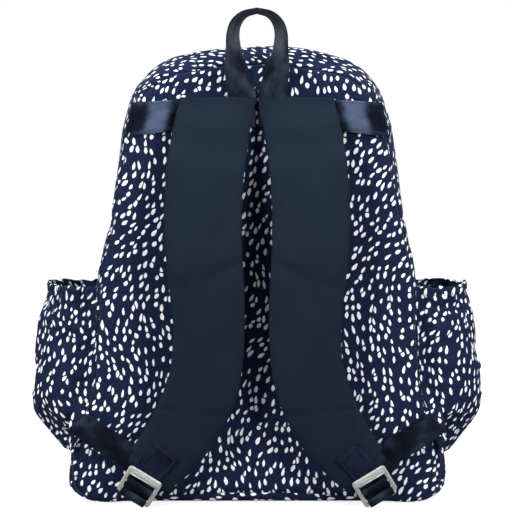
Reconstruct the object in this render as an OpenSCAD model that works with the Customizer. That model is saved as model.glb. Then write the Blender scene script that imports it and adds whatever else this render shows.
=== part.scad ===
// Racket backpack: a sewn, dome-topped bag with two shoulder straps, side pockets and a racket sleeve.
// Millimetres. +Z is up, -Y is the wearer's side with the straps, +Y is the front with the racket sleeve.
// The origin is the middle of the base, on the surface that the bag stands on.

/* [Body] */
// Height of the back panel
body_h = 437; // [400:1:460]
// Greatest width of the back panel, near the base
body_w = 374; // [350:1:400]
// Depth from the back panel to the front panel
body_d = 128; // [110:1:140]
// How far the gusset swells out at the crown
crown_swell = 16; // [10:1:18]
// Front panel's width as a share of the back panel's
front_taper = 0.88; // [0.84:0.01:0.94]
// Thickness of a fabric wall with its lining
wall = 3; // [2:0.5:4]
// Thickness of the foam behind the back panel
foam = 7; // [5:0.5:9]

/* [Racket sleeve] */
// Depth of the racket sleeve
sleeve_d = 28; // [24:1:32]
// Sleeve width as a share of the back panel's
sleeve_taper = 0.85; // [0.82:0.01:0.86]
// Depth of the accessory pocket on the sleeve
accessory_d = 12; // [8:1:14]

/* [Straps] */
// Thickness of the foam in a shoulder strap
strap_foam_t = 8; // [6:0.5:10]
// Thickness of the strap's face and lining
strap_skin_t = 1.6; // [1:0.1:2]
// Width of the narrow webbing
webbing_w = 27; // [25:1:28]
// Thickness of the webbing
webbing_t = 1.5; // [1.2:0.1:1.8]

/* [Hidden] */

print_navy = [0.09, 0.12, 0.25];
twill_navy = [0.10, 0.16, 0.22];
webbing_navy = [0.09, 0.10, 0.17];
metal = [0.78, 0.78, 0.76];
foam_grey = [0.45, 0.45, 0.47];
lining_grey = [0.62, 0.65, 0.70];

y_back = -65.9;             // rear face of the body
y_front = y_back + body_d;  // front face of the body
y_sleeve = y_front + sleeve_d;
skin = 2;                   // fabric of a flat panel
gap = 0.3;                  // air between sewn layers
per = 2;                    // outline points for each stretch between two shape points
nominal_h = 437;
nominal_half_w = 187;

// Half outline of the back panel, from the middle of the base to the middle of the crown.
back_shape = [
  [0, 10], [75, 7.5], [150, 0.5], [180, 8], [187, 30], [185, 56], [175, 86], [165, 116], [161, 160], [157, 222],
  [144, 283], [136, 330], [129, 372], [118, 400], [103, 416], [84, 426.1], [60, 431.5], [30, 435.6], [0, 437]];
// Greatest half width of the side pocket at each height.
pocket_reach = [[48, 188], [52, 196], [63, 209], [74, 218], [88, 228], [105, 231], [133, 229], [160, 226],
                [190, 221], [222, 214]];
// How far the gusset swells past the panel's edge at each height, as a share of crown_swell.
swell_share = [[0, 0], [40, 0], [100, 0.2], [260, 0.2], [342, 0.5], [392, 0.74], [437, 1]];
// Left strap's middle line: across, up, stand-off from the panel, half width.
strap_line = [
  [-37.8, 399.6, 2, 37], [-45.6, 364.7, 8, 37.7], [-50.2, 330, 20, 38], [-52.5, 287.8, 27, 37.8],
  [-51, 242.8, 30, 37.2], [-47.5, 199.7, 30, 35.8], [-47, 163.3, 29, 34.8], [-51, 128.9, 27, 34.8],
  [-61, 99, 24, 34.4], [-74.8, 73.4, 20, 33], [-88.8, 54, 16, 30.6], [-102.5, 38.6, 13, 27.7],
  [-107.6, 34, 12, 23.7]];
root_end = 1.45;            // where the sewn root ends along strap_line
strap_start = 1.62;         // where the free strap begins

// ---- curves ----
function ghosted(p) = concat([[-p[1][0], p[1][1]]], p, [[-p[len(p) - 2][0], p[len(p) - 2][1]]]);
function open_ghosted(p) = concat([2 * p[0] - p[1]], p, [2 * p[len(p) - 1] - p[len(p) - 2]]);
function spline(g, t) =
  let (i = max(min(floor(t), len(g) - 4), 0), u = t - i, a = g[i], b = g[i + 1], c = g[i + 2], d = g[i + 3])
  0.5 * (2 * b + (c - a) * u + (2 * a - 5 * b + 4 * c - d) * u * u + (3 * b - a - 3 * c + d) * u * u * u);
function slope(g, t) = (spline(g, t + 0.01) - spline(g, t - 0.01)) / 0.02;
function unit(v) = v / norm(v);
function mix(a, b, t) = a + (b - a) * t;
function clamp(t) = min(max(t, 0), 1);

// ---- body surface ----
scale_x = body_w / 2 / nominal_half_w;
scale_z = body_h / nominal_h;
half_n = (len(back_shape) - 1) * per;
ring_n = 2 * half_n;
half_ring = let (g = ghosted(back_shape))
  [for (i = [0 : half_n]) let (p = spline(g, i / per)) [p[0] * scale_x, max(p[1], 0) * scale_z]];
back_ring = concat(half_ring, [for (i = [half_n - 1 : -1 : 1]) [-half_ring[i][0], half_ring[i][1]]]);
front_fall = 0.975;         // the front panel's height as a share of the back panel's
sleeve_fall = 0.905;        // the sleeve's height as a share of the back panel's
sleeve_lift = 8;            // the sleeve's base above the bag's
base_half = 160;            // half width of the arched stretch of the base
base_arch = 11;             // no part of that stretch is higher than this
function on_arch(p) = abs(p[0]) < base_half && p[1] < base_arch;
front_ring = [for (p = back_ring) [p[0] * front_taper, on_arch(p) ? 0 : p[1] * front_fall]];
sleeve_ring = [for (p = back_ring) [p[0] * sleeve_taper, sleeve_lift + (on_arch(p) ? 0 : p[1] * sleeve_fall)]];
function around(i) = (i + ring_n) % ring_n;
function normal_at(ring, i) =
  let (t = ring[around(i + 1)] - ring[around(i - 1)]) unit([t[1], -t[0]]);
function swell_at(z) = crown_swell * lookup(z / scale_z, swell_share);
// The base drops from its arched rear edge to the flat it stands on within a short depth.
drop_by = 0.12;             // the share of the depth
function drop(k, v) =
  k <= 2 * per || k >= ring_n - 2 * per ? mix(back_ring[k][1], 0, sin(90 * clamp(v / drop_by))) : 0;
function body_pt(i, v, off = 0) =
  let (k = around(i), p = mix(back_ring[k], front_ring[k], v), n = normal_at(back_ring, k),
       q = p + n * (swell_at(back_ring[k][1]) * sin(180 * v) + off))
  [q[0], y_back + body_d * v, q[1] + drop(k, v) - (drop(k, 0) > 0 ? p[1] : 0)];
function sleeve_pt(i, y, off = 0) =
  let (k = around(i), q = sleeve_ring[k] + normal_at(sleeve_ring, k) * off) [q[0], y, q[1]];

// Ring positions where one panel ends and the next begins.
i_base = 4 * per;     // base panel turns up to here
i_zip = 10 * per;     // top gusset and its zip begin here
zip_v = 0.72;         // share of the depth where the main zip runs
tape_half = 7;        // half width of a zip with both tapes
tape_gap = 0.8;       // half of the gap between the tapes
zip_edge = (tape_half + gap) / body_d;

// ---- solids from grids ----
function flatten(l) = [for (a = l) for (b = a) b];
function slab_faces(r, c) =
  let (o = r * c, last = (r - 1) * c)
  concat(
    [for (i = [0 : r - 2]) for (j = [0 : c - 2]) let (a = i * c + j)
      each [[a, a + 1, a + c + 1], [a, a + c + 1, a + c],
            [o + a, o + a + c + 1, o + a + 1], [o + a, o + a + c, o + a + c + 1]]],
    [for (i = [0 : r - 2]) let (a = i * c, b = a + c - 1)
      each [[a, a + c, o + a + c], [a, o + a + c, o + a],
            [b + c, b, o + b], [b + c, o + b, o + b + c]]],
    [for (j = [0 : c - 2])
      each [[j + 1, j, o + j], [j + 1, o + j, o + j + 1],
            [last + j, last + j + 1, o + last + j + 1], [last + j, o + last + j + 1, o + last + j]]]);
function tube_faces(r, c, closed) =
  let (rows = closed ? r : r - 1)
  concat(
    [for (i = [0 : rows - 1]) for (j = [0 : c - 1])
      let (next = (j + 1) % c, below = (i + 1) % r * c,
           a = i * c + j, b = i * c + next, d = below + j, e = below + next)
      each [[a, b, e], [a, e, d]]],
    closed ? [] : concat([for (j = [1 : c - 2]) [0, j + 1, j]],
                         [for (j = [1 : c - 2]) let (o = (r - 1) * c) [o, o + j, o + j + 1]]));
function signed_volume(p, f) = [for (t = f) cross(p[t[0]], p[t[1]]) * p[t[2]]] * [for (t = f) 1];
module oriented(p, f) {
  faces = signed_volume(p, f) > 0 ? [for (t = f) [t[0], t[2], t[1]]] : f;
  polyhedron(p, faces);
}
// A solid between two grids of points that have the same rows and columns.
module slab(a, b) { oriented(concat(flatten(a), flatten(b)), slab_faces(len(a), len(a[0]))); }
// A solid through a row of rings of points, with flat ends unless it closes on itself.
module tube(rings, closed = false) { oriented(flatten(rings), tube_faces(len(rings), len(rings[0]), closed)); }
// A flat ribbon along stations [point, width direction], w wide and t thick.
module ribbon(stations, w, t) {
  n = len(stations);
  normals = [for (i = [0 : n - 1])
    let (along = stations[min(i + 1, n - 1)][0] - stations[max(i - 1, 0)][0])
    unit(cross(along, stations[i][1]))];
  sides = [for (s = [1, -1]) [for (i = [0 : n - 1])
    let (half = unit(stations[i][1]) * w / 2, m = normals[i] * s * t / 2)
    [stations[i][0] - half + m, stations[i][0] + half + m]]];
  slab(sides[0], sides[1]);
}
module both(right) { if (right) mirror([1, 0, 0]) children(); else children(); }
// Stands a 2D shape of (x, z) up, from y towards the front.
module upright(y, t) { translate([0, y + t, 0]) rotate([90, 0, 0]) linear_extrude(t) children(); }
// A strip of the body wall between ring places i0 and i1 and depths v0 and v1.
module body_patch(i0, i1, v0, v1, outer = 0, inner = -wall, steps = 4) {
  slab([for (i = [i0 : i1]) [for (j = [0 : steps]) body_pt(i, mix(v0, v1, j / steps), outer)]],
       [for (i = [i0 : i1]) [for (j = [0 : steps]) body_pt(i, mix(v0, v1, j / steps), inner)]]);
}
module sleeve_patch(i0, i1, y0, y1, outer = 0, inner = -wall) {
  slab([for (i = [i0 : i1]) [sleeve_pt(i, y0, outer), sleeve_pt(i, y1, outer)]],
       [for (i = [i0 : i1]) [sleeve_pt(i, y0, inner), sleeve_pt(i, y1, inner)]]);
}
function inset(ring, d) = [for (i = [0 : len(ring) - 1]) ring[i] - normal_at(ring, i) * d];

// ---- body panels ----
module back_panel() { color(print_navy) upright(y_back - skin, skin) polygon(back_ring); }
foam_inset = 8;             // the foam stops short of the seam
module back_foam() {
  color(foam_grey) upright(y_back + gap, foam) polygon(inset(back_ring, foam_inset));
}
module front_panel() { color(print_navy) upright(y_front, skin) polygon(front_ring); }
module gusset_rear_strip() { color(print_navy) body_patch(i_zip, ring_n - i_zip, 0, zip_v - zip_edge); }
module gusset_front_strip() {
  color(print_navy) body_patch(i_zip, ring_n - i_zip, zip_v + zip_edge, 1, steps = 3);
}
module side_gusset(right) {
  color(print_navy)
    if (right) body_patch(i_base, i_zip, 0, 1);
    else body_patch(ring_n - i_zip, ring_n - i_base, 0, 1);
}
bottom_cuts = [0, 0.03, 0.06, 0.12, 0.35, 0.65, 1];
module bottom_panel() {
  color(print_navy) slab([for (i = [-i_base : i_base]) [for (v = bottom_cuts) body_pt(i, v, 0)]],
                         [for (i = [-i_base : i_base]) [for (v = bottom_cuts) body_pt(i, v, -wall)]]);
}
board_l = 270;
board_w = 104;
board_t = 2.5;
board_in = 14;              // from the rear face of the body
board_z = wall + 2 * gap;
module base_board() {
  color("dimgray") translate([-board_l / 2, y_back + board_in, board_z]) cube([board_l, board_w, board_t]);
}
divider_w = 236;
divider_h = 270;
divider_t = 2.4;
divider_in = 34;            // from the rear face of the body
divider_z = board_z + board_t + gap;
binding_h = 5;
binding_out = 0.6;          // how far the binding stands out on each side
module laptop_divider() {
  color(lining_grey) translate([-divider_w / 2, y_back + divider_in, divider_z])
    cube([divider_w, divider_t, divider_h]);
}
module divider_binding() {
  color(webbing_navy)
    translate([-divider_w / 2, y_back + divider_in - binding_out, divider_z + gap + divider_h])
    cube([divider_w, divider_t + 2 * binding_out, binding_h]);
}
// A bound seam allowance inside the bag: a closed loop of tape along a panel's edge, between two depths.
allowance_t = 1.4;
allowance_rear = [0.004, 0.05];
allowance_front = [0.93, 0.985];
module seam_binding(span) {
  near = -wall - gap;
  far = near - allowance_t;
  color(webbing_navy) tube([for (i = [0 : ring_n - 1])
    [body_pt(i, span[0], near), body_pt(i, span[1], near), body_pt(i, span[1], far), body_pt(i, span[0], far)]],
    closed = true);
}
module seam_binding_rear() { seam_binding(allowance_rear); }
module seam_binding_front() { seam_binding(allowance_front); }

// ---- zips: two tapes with a coil along each inner edge ----
coil_r = 1.1;
coil_at = 2.1;
coil_drop = 2.6;
tape_t = 1.2;
module round_cord(points, across, up, r, sides = 6) {
  tube([for (i = [0 : len(points) - 1]) [for (k = [0 : sides - 1])
    points[i] + across[i] * r * cos(360 * k / sides) + up[i] * r * sin(360 * k / sides)]]);
}
module body_tape(side) {
  near = zip_v + side * tape_gap / body_d;
  far = zip_v + side * tape_half / body_d;
  body_patch(i_zip, ring_n - i_zip, near, far, 0, -tape_t, steps = 1);
  places = [i_zip : ring_n - i_zip];
  points = [for (i = places) body_pt(i, zip_v + side * coil_at / body_d, -coil_drop)];
  normals = [for (i = places) let (n = normal_at(back_ring, i)) [n[0], 0, n[1]]];
  round_cord(points, [for (i = places) [0, 1, 0]], normals, coil_r);
}
module main_zip() { color(webbing_navy) { body_tape(1); body_tape(-1); } }
end_tab_t = 1.4;
module main_zip_end_tabs() {
  color(webbing_navy) for (right = [false, true]) both(right)
    body_patch(i_zip - 1, i_zip, zip_v - 2 * zip_edge, zip_v + 2 * zip_edge, gap + end_tab_t, gap, steps = 2);
}
sleeve_zip_y = y_front + sleeve_d * 0.5;
i_sleeve_zip = 9 * per;
i_throat = half_n - 3;      // the throat lies between this ring place and its mirror image
slim_half = 6;              // half width of the sleeve's and the accessory pocket's zips
module sleeve_tape(side, i0, i1) {
  sleeve_patch(i0, i1, sleeve_zip_y + side * tape_gap, sleeve_zip_y + side * slim_half, 0, -tape_t);
  points = [for (i = [i0 : i1]) sleeve_pt(i, sleeve_zip_y + side * coil_at, -coil_drop)];
  normals = [for (i = [i0 : i1]) let (n = normal_at(sleeve_ring, i)) [n[0], 0, n[1]]];
  round_cord(points, [for (i = [i0 : i1]) [0, 1, 0]], normals, coil_r);
}
module sleeve_zip() {
  color(webbing_navy) for (side = [-1, 1]) {
    sleeve_tape(side, i_sleeve_zip, i_throat);
    sleeve_tape(side, ring_n - i_throat, ring_n - i_sleeve_zip);
  }
}

// ---- racket sleeve on the front ----
sleeve_strip_edge = slim_half + gap;
sleeve_rear_y = y_front + skin + gap;
sleeve_front_y = y_sleeve - skin;
module racket_sleeve_face() {
  color(print_navy) upright(sleeve_front_y, skin) polygon(sleeve_ring);
}
// One side of the sleeve's wall: its zipped sides between y0 and y1, and its closed base between b0 and b1.
module sleeve_wall(y0, y1, b0, b1) {
  sleeve_patch(ring_n - i_sleeve_zip, ring_n + i_sleeve_zip, b0, b1);
  sleeve_patch(i_sleeve_zip, i_throat, y0, y1);
  sleeve_patch(ring_n - i_throat, ring_n - i_sleeve_zip, y0, y1);
}
module racket_sleeve_rear_strip() {
  color(print_navy)
    sleeve_wall(sleeve_rear_y, sleeve_zip_y - sleeve_strip_edge, sleeve_rear_y, sleeve_zip_y - gap / 2);
}
module racket_sleeve_front_strip() {
  front = sleeve_front_y - gap;
  color(print_navy) sleeve_wall(sleeve_zip_y + sleeve_strip_edge, front, sleeve_zip_y + gap / 2, front);
}
throat_t = 1.5;
module throat_binding() {
  color(webbing_navy)
    sleeve_patch(i_throat + 1, ring_n - i_throat - 1, sleeve_front_y - skin, y_sleeve, gap + throat_t, gap);
}
accessory_w = 190;
accessory_h = 150;
accessory_z = 44;
accessory_wall = 2;
accessory_window = 13;      // height of the opening that the zip fills
accessory_margin = 8;       // from the pocket's edges to that opening
module accessory_pocket() {
  inside = accessory_w - 2 * accessory_wall;
  color(print_navy) translate([-accessory_w / 2, y_sleeve + gap, accessory_z]) difference() {
    cube([accessory_w, accessory_d, accessory_h]);
    translate([accessory_wall, -1, accessory_wall])
      cube([inside, accessory_d - accessory_wall + 1, accessory_h - 2 * accessory_wall]);
    translate([accessory_margin, -1, accessory_h - accessory_margin - accessory_window])
      cube([accessory_w - 2 * accessory_margin, accessory_d + 2, accessory_window]);
  }
}
accessory_zip_z = accessory_z + accessory_h - accessory_margin - accessory_window / 2;
accessory_face_y = y_sleeve + gap + accessory_d;
tape_sink = 1.6;            // how far the tapes lie behind the pocket's face
module accessory_zip() {
  length = accessory_w - 2 * accessory_margin - 2 * gap;
  color(webbing_navy) for (s = [-1, 1]) {
    translate([-length / 2, accessory_face_y - tape_sink, accessory_zip_z + (s > 0 ? tape_gap : -slim_half)])
      cube([length, tape_t, slim_half - tape_gap]);
    translate([-length / 2, accessory_face_y - tape_sink - coil_r, accessory_zip_z + s * coil_at])
      rotate([0, 90, 0]) cylinder(h = length, r = coil_r, $fn = 24);
  }
}

// ---- side pockets with a gathered elastic mouth ----
pocket_rows = [for (i = [5 * per : 9 * per]) i];
pocket_v0 = 0.05;
pocket_v1 = 0.92;
pocket_cols = 8;
pocket_t = 2.5;
hem_h = 9;
hem_out = 0.6;              // how far the hem stands out from the pocket's face
hem_in = 2.8;
elastic_t = 1;
side_slope = 0.1;            // how fast the wall behind the pocket widens downwards
mouth_sink = 10;             // how far the shell ends below its ring place, for the hem to stand on
sink_from = 160;
sink_over = 60;
function pocket_pt(i, s, inset, lift = 0) =
  let (v = mix(pocket_v0 + inset / body_d, pocket_v1 - inset / body_d, s), b = body_pt(i, v, gap),
       sunk = mouth_sink * clamp((b[2] - sink_from) / sink_over), z = b[2] + lift - sunk,
       shut = i == pocket_rows[0] ? 0 : 1, mid = body_pt(i, 0.5, gap)[0],
       reach = max((lookup(z / scale_z, pocket_reach) * scale_x - inset - mid) * shut, 0))
  [b[0] + side_slope * sunk + reach * pow(sin(180 * s), 0.6), b[1], z + (shut == 0 ? inset : 0)];
module pocket_shell(rows, outer, inner) {
  slab([for (i = rows) [for (j = [0 : pocket_cols]) pocket_pt(i, j / pocket_cols, outer)]],
       [for (i = rows) [for (j = [0 : pocket_cols]) pocket_pt(i, j / pocket_cols, inner)]]);
}
module side_pocket(right) { color(print_navy) both(!right) pocket_shell(pocket_rows, 0, pocket_t); }
module pocket_band(right, outer, inner, z0, z1) {
  i = pocket_rows[len(pocket_rows) - 1];
  both(!right) slab(
    [for (z = [z0, z1]) [for (j = [0 : pocket_cols]) pocket_pt(i, j / pocket_cols, outer, z)]],
    [for (z = [z0, z1]) [for (j = [0 : pocket_cols]) pocket_pt(i, j / pocket_cols, inner, z)]]);
}
module pocket_hem(right) { color(print_navy) pocket_band(right, -hem_out, hem_in, gap, hem_h); }
module hem_elastics() {
  color("black") for (right = [false, true])
    pocket_band(right, hem_in + gap, hem_in + gap + elastic_t, elastic_t, hem_h - elastic_t);
}

// ---- webbing on the back panel ----
panel_y = y_back - skin;
band_outline = [[-84, 366], [-129, 358], [-121, 394], [-76, 399]];
wing_outline = [[-181, 98], [-186, 52], [-176, 66], [-166, 88]];
wing_t = 2;
tail_from = 374;
tail_h = 26;
tail_apart = 2;             // from the middle to each tail
module strap_band(right) {
  color(webbing_navy) both(right) upright(panel_y - gap - webbing_t, webbing_t) polygon(band_outline);
}
module handle_tails() {
  color(webbing_navy) for (x = [-tail_apart - webbing_w, tail_apart])
    translate([x, panel_y - gap - webbing_t, tail_from]) cube([webbing_w, webbing_t, tail_h]);
}
module anchor_wing(right) {
  color(print_navy) both(right) upright(panel_y - gap - wing_t, wing_t) polygon(wing_outline);
}

// ---- shoulder straps ----
strap_curve = open_ghosted(strap_line);
straight_top = 1.3;         // the strap leaves its sewn root straight down, and turns by here
function strap_pt(t, across, depth) =
  let (p = spline(strap_curve, t), d = slope(strap_curve, t),
       along = unit(mix([0, -1], unit([d[0], d[1]]), clamp(t / straight_top))))
  [p[0] + along[1] * p[3] * across, panel_y - p[2] - depth, p[1] - along[0] * p[3] * across];
module strap_layer(t0, t1, near, far, steps) {
  rows = [for (i = [0 : steps]) mix(t0, t1, i / steps)];
  columns = [-1, 0, 1];
  slab([for (t = rows) [for (c = columns) strap_pt(t, c, near)]],
       [for (t = rows) [for (c = columns) strap_pt(t, c, far)]]);
}
strap_end = len(strap_line) - 1;
strap_t = strap_foam_t + 2 * strap_skin_t + 2 * gap;
strap_cuts = 20;
root_cuts = 4;
root_clear = 0.4;
module strap_root(right) {
  color(twill_navy) both(right) strap_layer(0, root_end, root_clear, strap_t, root_cuts);
}
module strap_lining(right) {
  color(webbing_navy) both(right) strap_layer(strap_start, strap_end, 0, strap_skin_t, strap_cuts);
}
module strap_foam(right) {
  color(foam_grey) both(right)
    strap_layer(strap_start, strap_end, strap_skin_t + gap, strap_skin_t + gap + strap_foam_t, strap_cuts);
}
module strap_face(right) {
  color(twill_navy) both(right)
    strap_layer(strap_start, strap_end, strap_t - strap_skin_t, strap_t, strap_cuts);
}

// The buckle hangs past the strap's end, along the direction buckle_down.
buckle_down = unit([-0.52, 0, -0.854]);
strap_end_off = strap_line[len(strap_line) - 1][2];
buckle_top = [-107.9, panel_y - strap_end_off - strap_t - webbing_t - 4 * gap, 33.5];
buckle_w = 37;
buckle_h = 28;
buckle_t = 3;
bar_top = 8;
bar_side = 4;
bar_low = 3.6;
mid_bar_r = 1.5;
mid_bar_at = 15.5;          // down from the top edge
low_bar_at = buckle_h - bar_low / 2;
module buckle_place() {
  translate(buckle_top) rotate([0, atan2(-buckle_down[0], -buckle_down[2]), 0]) children();
}
module rounded_bar(x0, x1, z0, z1, r) {
  upright(-buckle_t, buckle_t) translate([x0, z0]) union() {
    translate([r, 0]) square([x1 - x0 - 2 * r, z1 - z0]);
    translate([0, r]) square([x1 - x0, z1 - z0 - 2 * r]);
    for (x = [r, x1 - x0 - r], z = [r, z1 - z0 - r]) translate([x, z]) circle(r = r, $fn = 32);
  }
}
module buckle(right) {
  color(metal) both(right) buckle_place() {
    difference() {
      rounded_bar(-buckle_w / 2, buckle_w / 2, -buckle_h, 0, 3);
      translate([-buckle_w / 2 + bar_side, -buckle_t - 1, -buckle_h + bar_low])
        cube([buckle_w - 2 * bar_side, buckle_t + 2, buckle_h - bar_low - bar_top]);
    }
    translate([-buckle_w / 2 + bar_side - 1, -buckle_t / 2, -mid_bar_at])
      rotate([0, 90, 0]) cylinder(h = buckle_w - 2 * bar_side + 2, r = mid_bar_r, $fn = 24);
  }
}
low_bight_r = 2.7;
bight_clear = 0.15;
// A strip of webbing bent round a bar, from below its rear face to above it again.
module bight(at, inside_r, from, to, steps = 8) {
  r = inside_r + webbing_t / 2 + bight_clear;
  ribbon([for (i = [0 : steps]) let (a = mix(from, to, i / steps))
    [[0, -buckle_t / 2 + r * cos(a), -at + r * sin(a)], [1, 0, 0]]], webbing_w, webbing_t);
}
module webbing_bight(right) {
  color(webbing_navy) both(right) buckle_place() {
    bight(mid_bar_at, mid_bar_r, 60, 300);
    bight(low_bar_at, low_bight_r, -30, -250, steps = 10);
  }
}
tab_from = 9.9;
tab_step = 0.4;
module buckle_tab(right) {
  places = [tab_from : tab_step : strap_end];
  color(webbing_navy) both(right)
    ribbon([for (t = places)
      [strap_pt(t, 0, strap_t + gap + webbing_t / 2), unit(strap_pt(t, 1, 0) - strap_pt(t, -1, 0))]],
      webbing_w, webbing_t);
}
// The adjuster runs from the side seam, behind the strap's end, to the back of the buckle.
adjuster_line = [
  // [across, stand-off, up], width direction across and up
  [[-171, 5, 79], [0.7, 0.71]], [[-160, 6.2, 71.5], [0.62, 0.78]], [[-146, 7.2, 62], [0.58, 0.81]],
  [[-133, 7.5, 53], [0.66, 0.75]], [[-121, 8, 43], [0.8, 0.6]], [[-114.5, 9, 33.5], [0.86, 0.5]],
  [[-115.5, 13, 25.5], [0.86, -0.3]], [[-119, 19, 18], [0.86, -0.48]], [[-120.6, 23.6, 13], [0.86, -0.52]]];
module adjuster_webbing(right) {
  color(webbing_navy) both(right)
    ribbon([for (s = adjuster_line) [[s[0][0], panel_y - s[0][1], s[0][2]], [s[1][0], 0, s[1][1]]]],
           webbing_w - 2, webbing_t);
}

// ---- grab handle: one loop of webbing that turns edge-on towards the top ----
handle_line = [
  // across, up, stand-off, then the direction of the width: across, back, up
  [-15, 402, 0, 1, 0, 0], [-17, 414, 3.6, 0.97, 0.25, 0], [-20, 430, 8.2, 0.82, 0.57, 0.02],
  [-22.5, 447, 9.5, 0.55, 0.83, 0], [-23.5, 463, 7, 0.43, 0.9, -0.05], [-20.5, 475, 5.5, 0.33, 0.93, -0.1],
  [-12.5, 483.4, 4.4, 0.18, 0.97, -0.12], [0, 486.9, 4, 0, 1, -0.12]];
handle_y = panel_y - gap - webbing_t / 2;
handle_cuts = 3;
module grab_handle() {
  n = len(handle_line);
  curve = open_ghosted(handle_line);
  half = [for (i = [0 : (n - 1) * handle_cuts]) spline(curve, i / handle_cuts)];
  last = len(half) - 1;
  left = [for (p = half) [[p[0], handle_y - p[2], p[1]], [p[3], p[4], p[5]]]];
  right = [for (i = [last - 1 : -1 : 0]) let (p = half[i])
    [[-p[0], handle_y - p[2], p[1]], [-p[3], p[4], p[5]]]];
  color(webbing_navy) ribbon(concat(left, right), webbing_w, webbing_t);
}

// ---- zip sliders: a top plate, a post in the gap between the tapes and a plate behind ----
slider_w = 9;
slider_l = 13;
plate_t = 1.4;
plate_rise = 1.7;
plate_drop = 6.4;
post_l = 5;
post_w = 1;
ear_w = 2;
ear_l = 3;
ear_h = 3.6;
bite = 0.2;                 // how far joined bits of metal run into one another
bail_r = 0.9;
bail_at = 2.5;
bail_rise = 5.6;
pull_l = 26;
pull_w = 7;
pull_t = 1.6;
neck_l = 8;
neck_w = 4;
eye_r = 2.3;
eye_clear = 0.35;
// A slider is drawn with its zip along X, its outer face towards +Z and the pull lying towards +X.
module slider() {
  for (z = [plate_rise, -plate_drop])
    translate([-slider_l / 2, -slider_w / 2, z]) cube([slider_l, slider_w, plate_t]);
  post_from = plate_t - plate_drop - bite;
  translate([-post_l / 2, -post_w / 2, post_from]) cube([post_l, post_w, plate_rise + bite - post_from]);
  for (y = [bite - slider_w / 2, slider_w / 2 - ear_w - bite])
    translate([bail_at - ear_l / 2, y, plate_rise + plate_t - 2 * bite]) cube([ear_l, ear_w, ear_h]);
  bail_l = slider_w - ear_w;
  translate([bail_at, -bail_l / 2, bail_rise]) rotate([-90, 0, 0]) cylinder(h = bail_l, r = bail_r, $fn = 24);
}
// The pull's eye is open at the back, so that it hooks over the bail.
module pull() {
  translate([bail_at, 0, bail_rise]) difference() {
    union() {
      rotate([-90, 0, 0]) translate([0, 0, -neck_w / 2]) cylinder(h = neck_w, r = eye_r, $fn = 32);
      translate([0, -neck_w / 2, -pull_t / 2]) cube([neck_l, neck_w, pull_t]);
      translate([neck_l - 1, -pull_w / 2, -pull_t / 2]) cube([pull_l - neck_l + 1, pull_w, pull_t]);
    }
    rotate([-90, 0, 0]) translate([0, 0, -pull_w]) cylinder(h = 2 * pull_w, r = bail_r + eye_clear, $fn = 32);
    translate([-eye_r - 1, -pull_w / 2, -bail_r / 2]) cube([eye_r + 1, pull_w, bail_r]);
  }
}
// Each zip's crown is close to a circle about a centre below it, so a slider there turns about that centre.
main_centre_z = 159.2;
main_radius = 282.2;
sleeve_radius = 262;
sleeve_centre_z = sleeve_lift + body_h * sleeve_fall - sleeve_radius;
main_rest = 2.4;
sleeve_rest = 11;
module on_arc(centre_z, radius, y, angle, right) {
  both(!right) translate([0, y, centre_z]) rotate([0, angle, 0]) translate([0, 0, radius]) children();
}
module main_slider(right) {
  color(metal) on_arc(main_centre_z, main_radius, y_back + body_d * zip_v, main_rest, right) slider();
}
module main_pull(right) {
  color(metal) on_arc(main_centre_z, main_radius, y_back + body_d * zip_v, main_rest, right) pull();
}
module sleeve_slider(right) {
  color(metal) on_arc(sleeve_centre_z, sleeve_radius, sleeve_zip_y, sleeve_rest, right) slider();
}
module sleeve_pull(right) {
  color(metal) on_arc(sleeve_centre_z, sleeve_radius, sleeve_zip_y, sleeve_rest, right) pull();
}
accessory_rest_x = -78;
accessory_seat = 0.4;       // how far the slider sits in from the pocket's face
module accessory_place() {
  translate([accessory_rest_x, accessory_face_y - accessory_seat, accessory_zip_z])
    rotate([-90, 0, 0]) children();
}
module accessory_slider() { color(metal) accessory_place() slider(); }
module accessory_pull() { color(metal) accessory_place() pull(); }

back_panel();
back_foam();
front_panel();
gusset_rear_strip();
gusset_front_strip();
side_gusset(false);  // side_gusset_left
side_gusset(true);  // side_gusset_right
bottom_panel();
base_board();
laptop_divider();
divider_binding();
seam_binding_rear();
seam_binding_front();
main_zip();
main_zip_end_tabs();
racket_sleeve_face();
racket_sleeve_rear_strip();
racket_sleeve_front_strip();
sleeve_zip();
throat_binding();
accessory_pocket();
accessory_zip();
side_pocket(false);  // side_pocket_left
side_pocket(true);  // side_pocket_right
pocket_hem(false);  // pocket_hem_left
pocket_hem(true);  // pocket_hem_right
hem_elastics();
strap_band(false);  // strap_band_left
strap_band(true);  // strap_band_right
strap_root(false);  // strap_root_left
strap_root(true);  // strap_root_right
handle_tails();
anchor_wing(false);  // anchor_wing_left
anchor_wing(true);  // anchor_wing_right
strap_face(false);  // strap_face_left
strap_foam(false);  // strap_foam_left
strap_lining(false);  // strap_lining_left
buckle_tab(false);  // buckle_tab_left
adjuster_webbing(false);  // adjuster_webbing_left
strap_face(true);  // strap_face_right
strap_foam(true);  // strap_foam_right
strap_lining(true);  // strap_lining_right
buckle_tab(true);  // buckle_tab_right
adjuster_webbing(true);  // adjuster_webbing_right
buckle(false);  // buckle_left
buckle(true);  // buckle_right
webbing_bight(false);  // webbing_bight_left
webbing_bight(true);  // webbing_bight_right
grab_handle();
main_slider(false);  // main_slider_left
main_slider(true);  // main_slider_right
main_pull(false);  // main_pull_left
main_pull(true);  // main_pull_right
sleeve_slider(false);  // sleeve_slider_left
sleeve_slider(true);  // sleeve_slider_right
sleeve_pull(false);  // sleeve_pull_left
sleeve_pull(true);  // sleeve_pull_right
accessory_slider();
accessory_pull();
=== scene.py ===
import math

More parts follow.
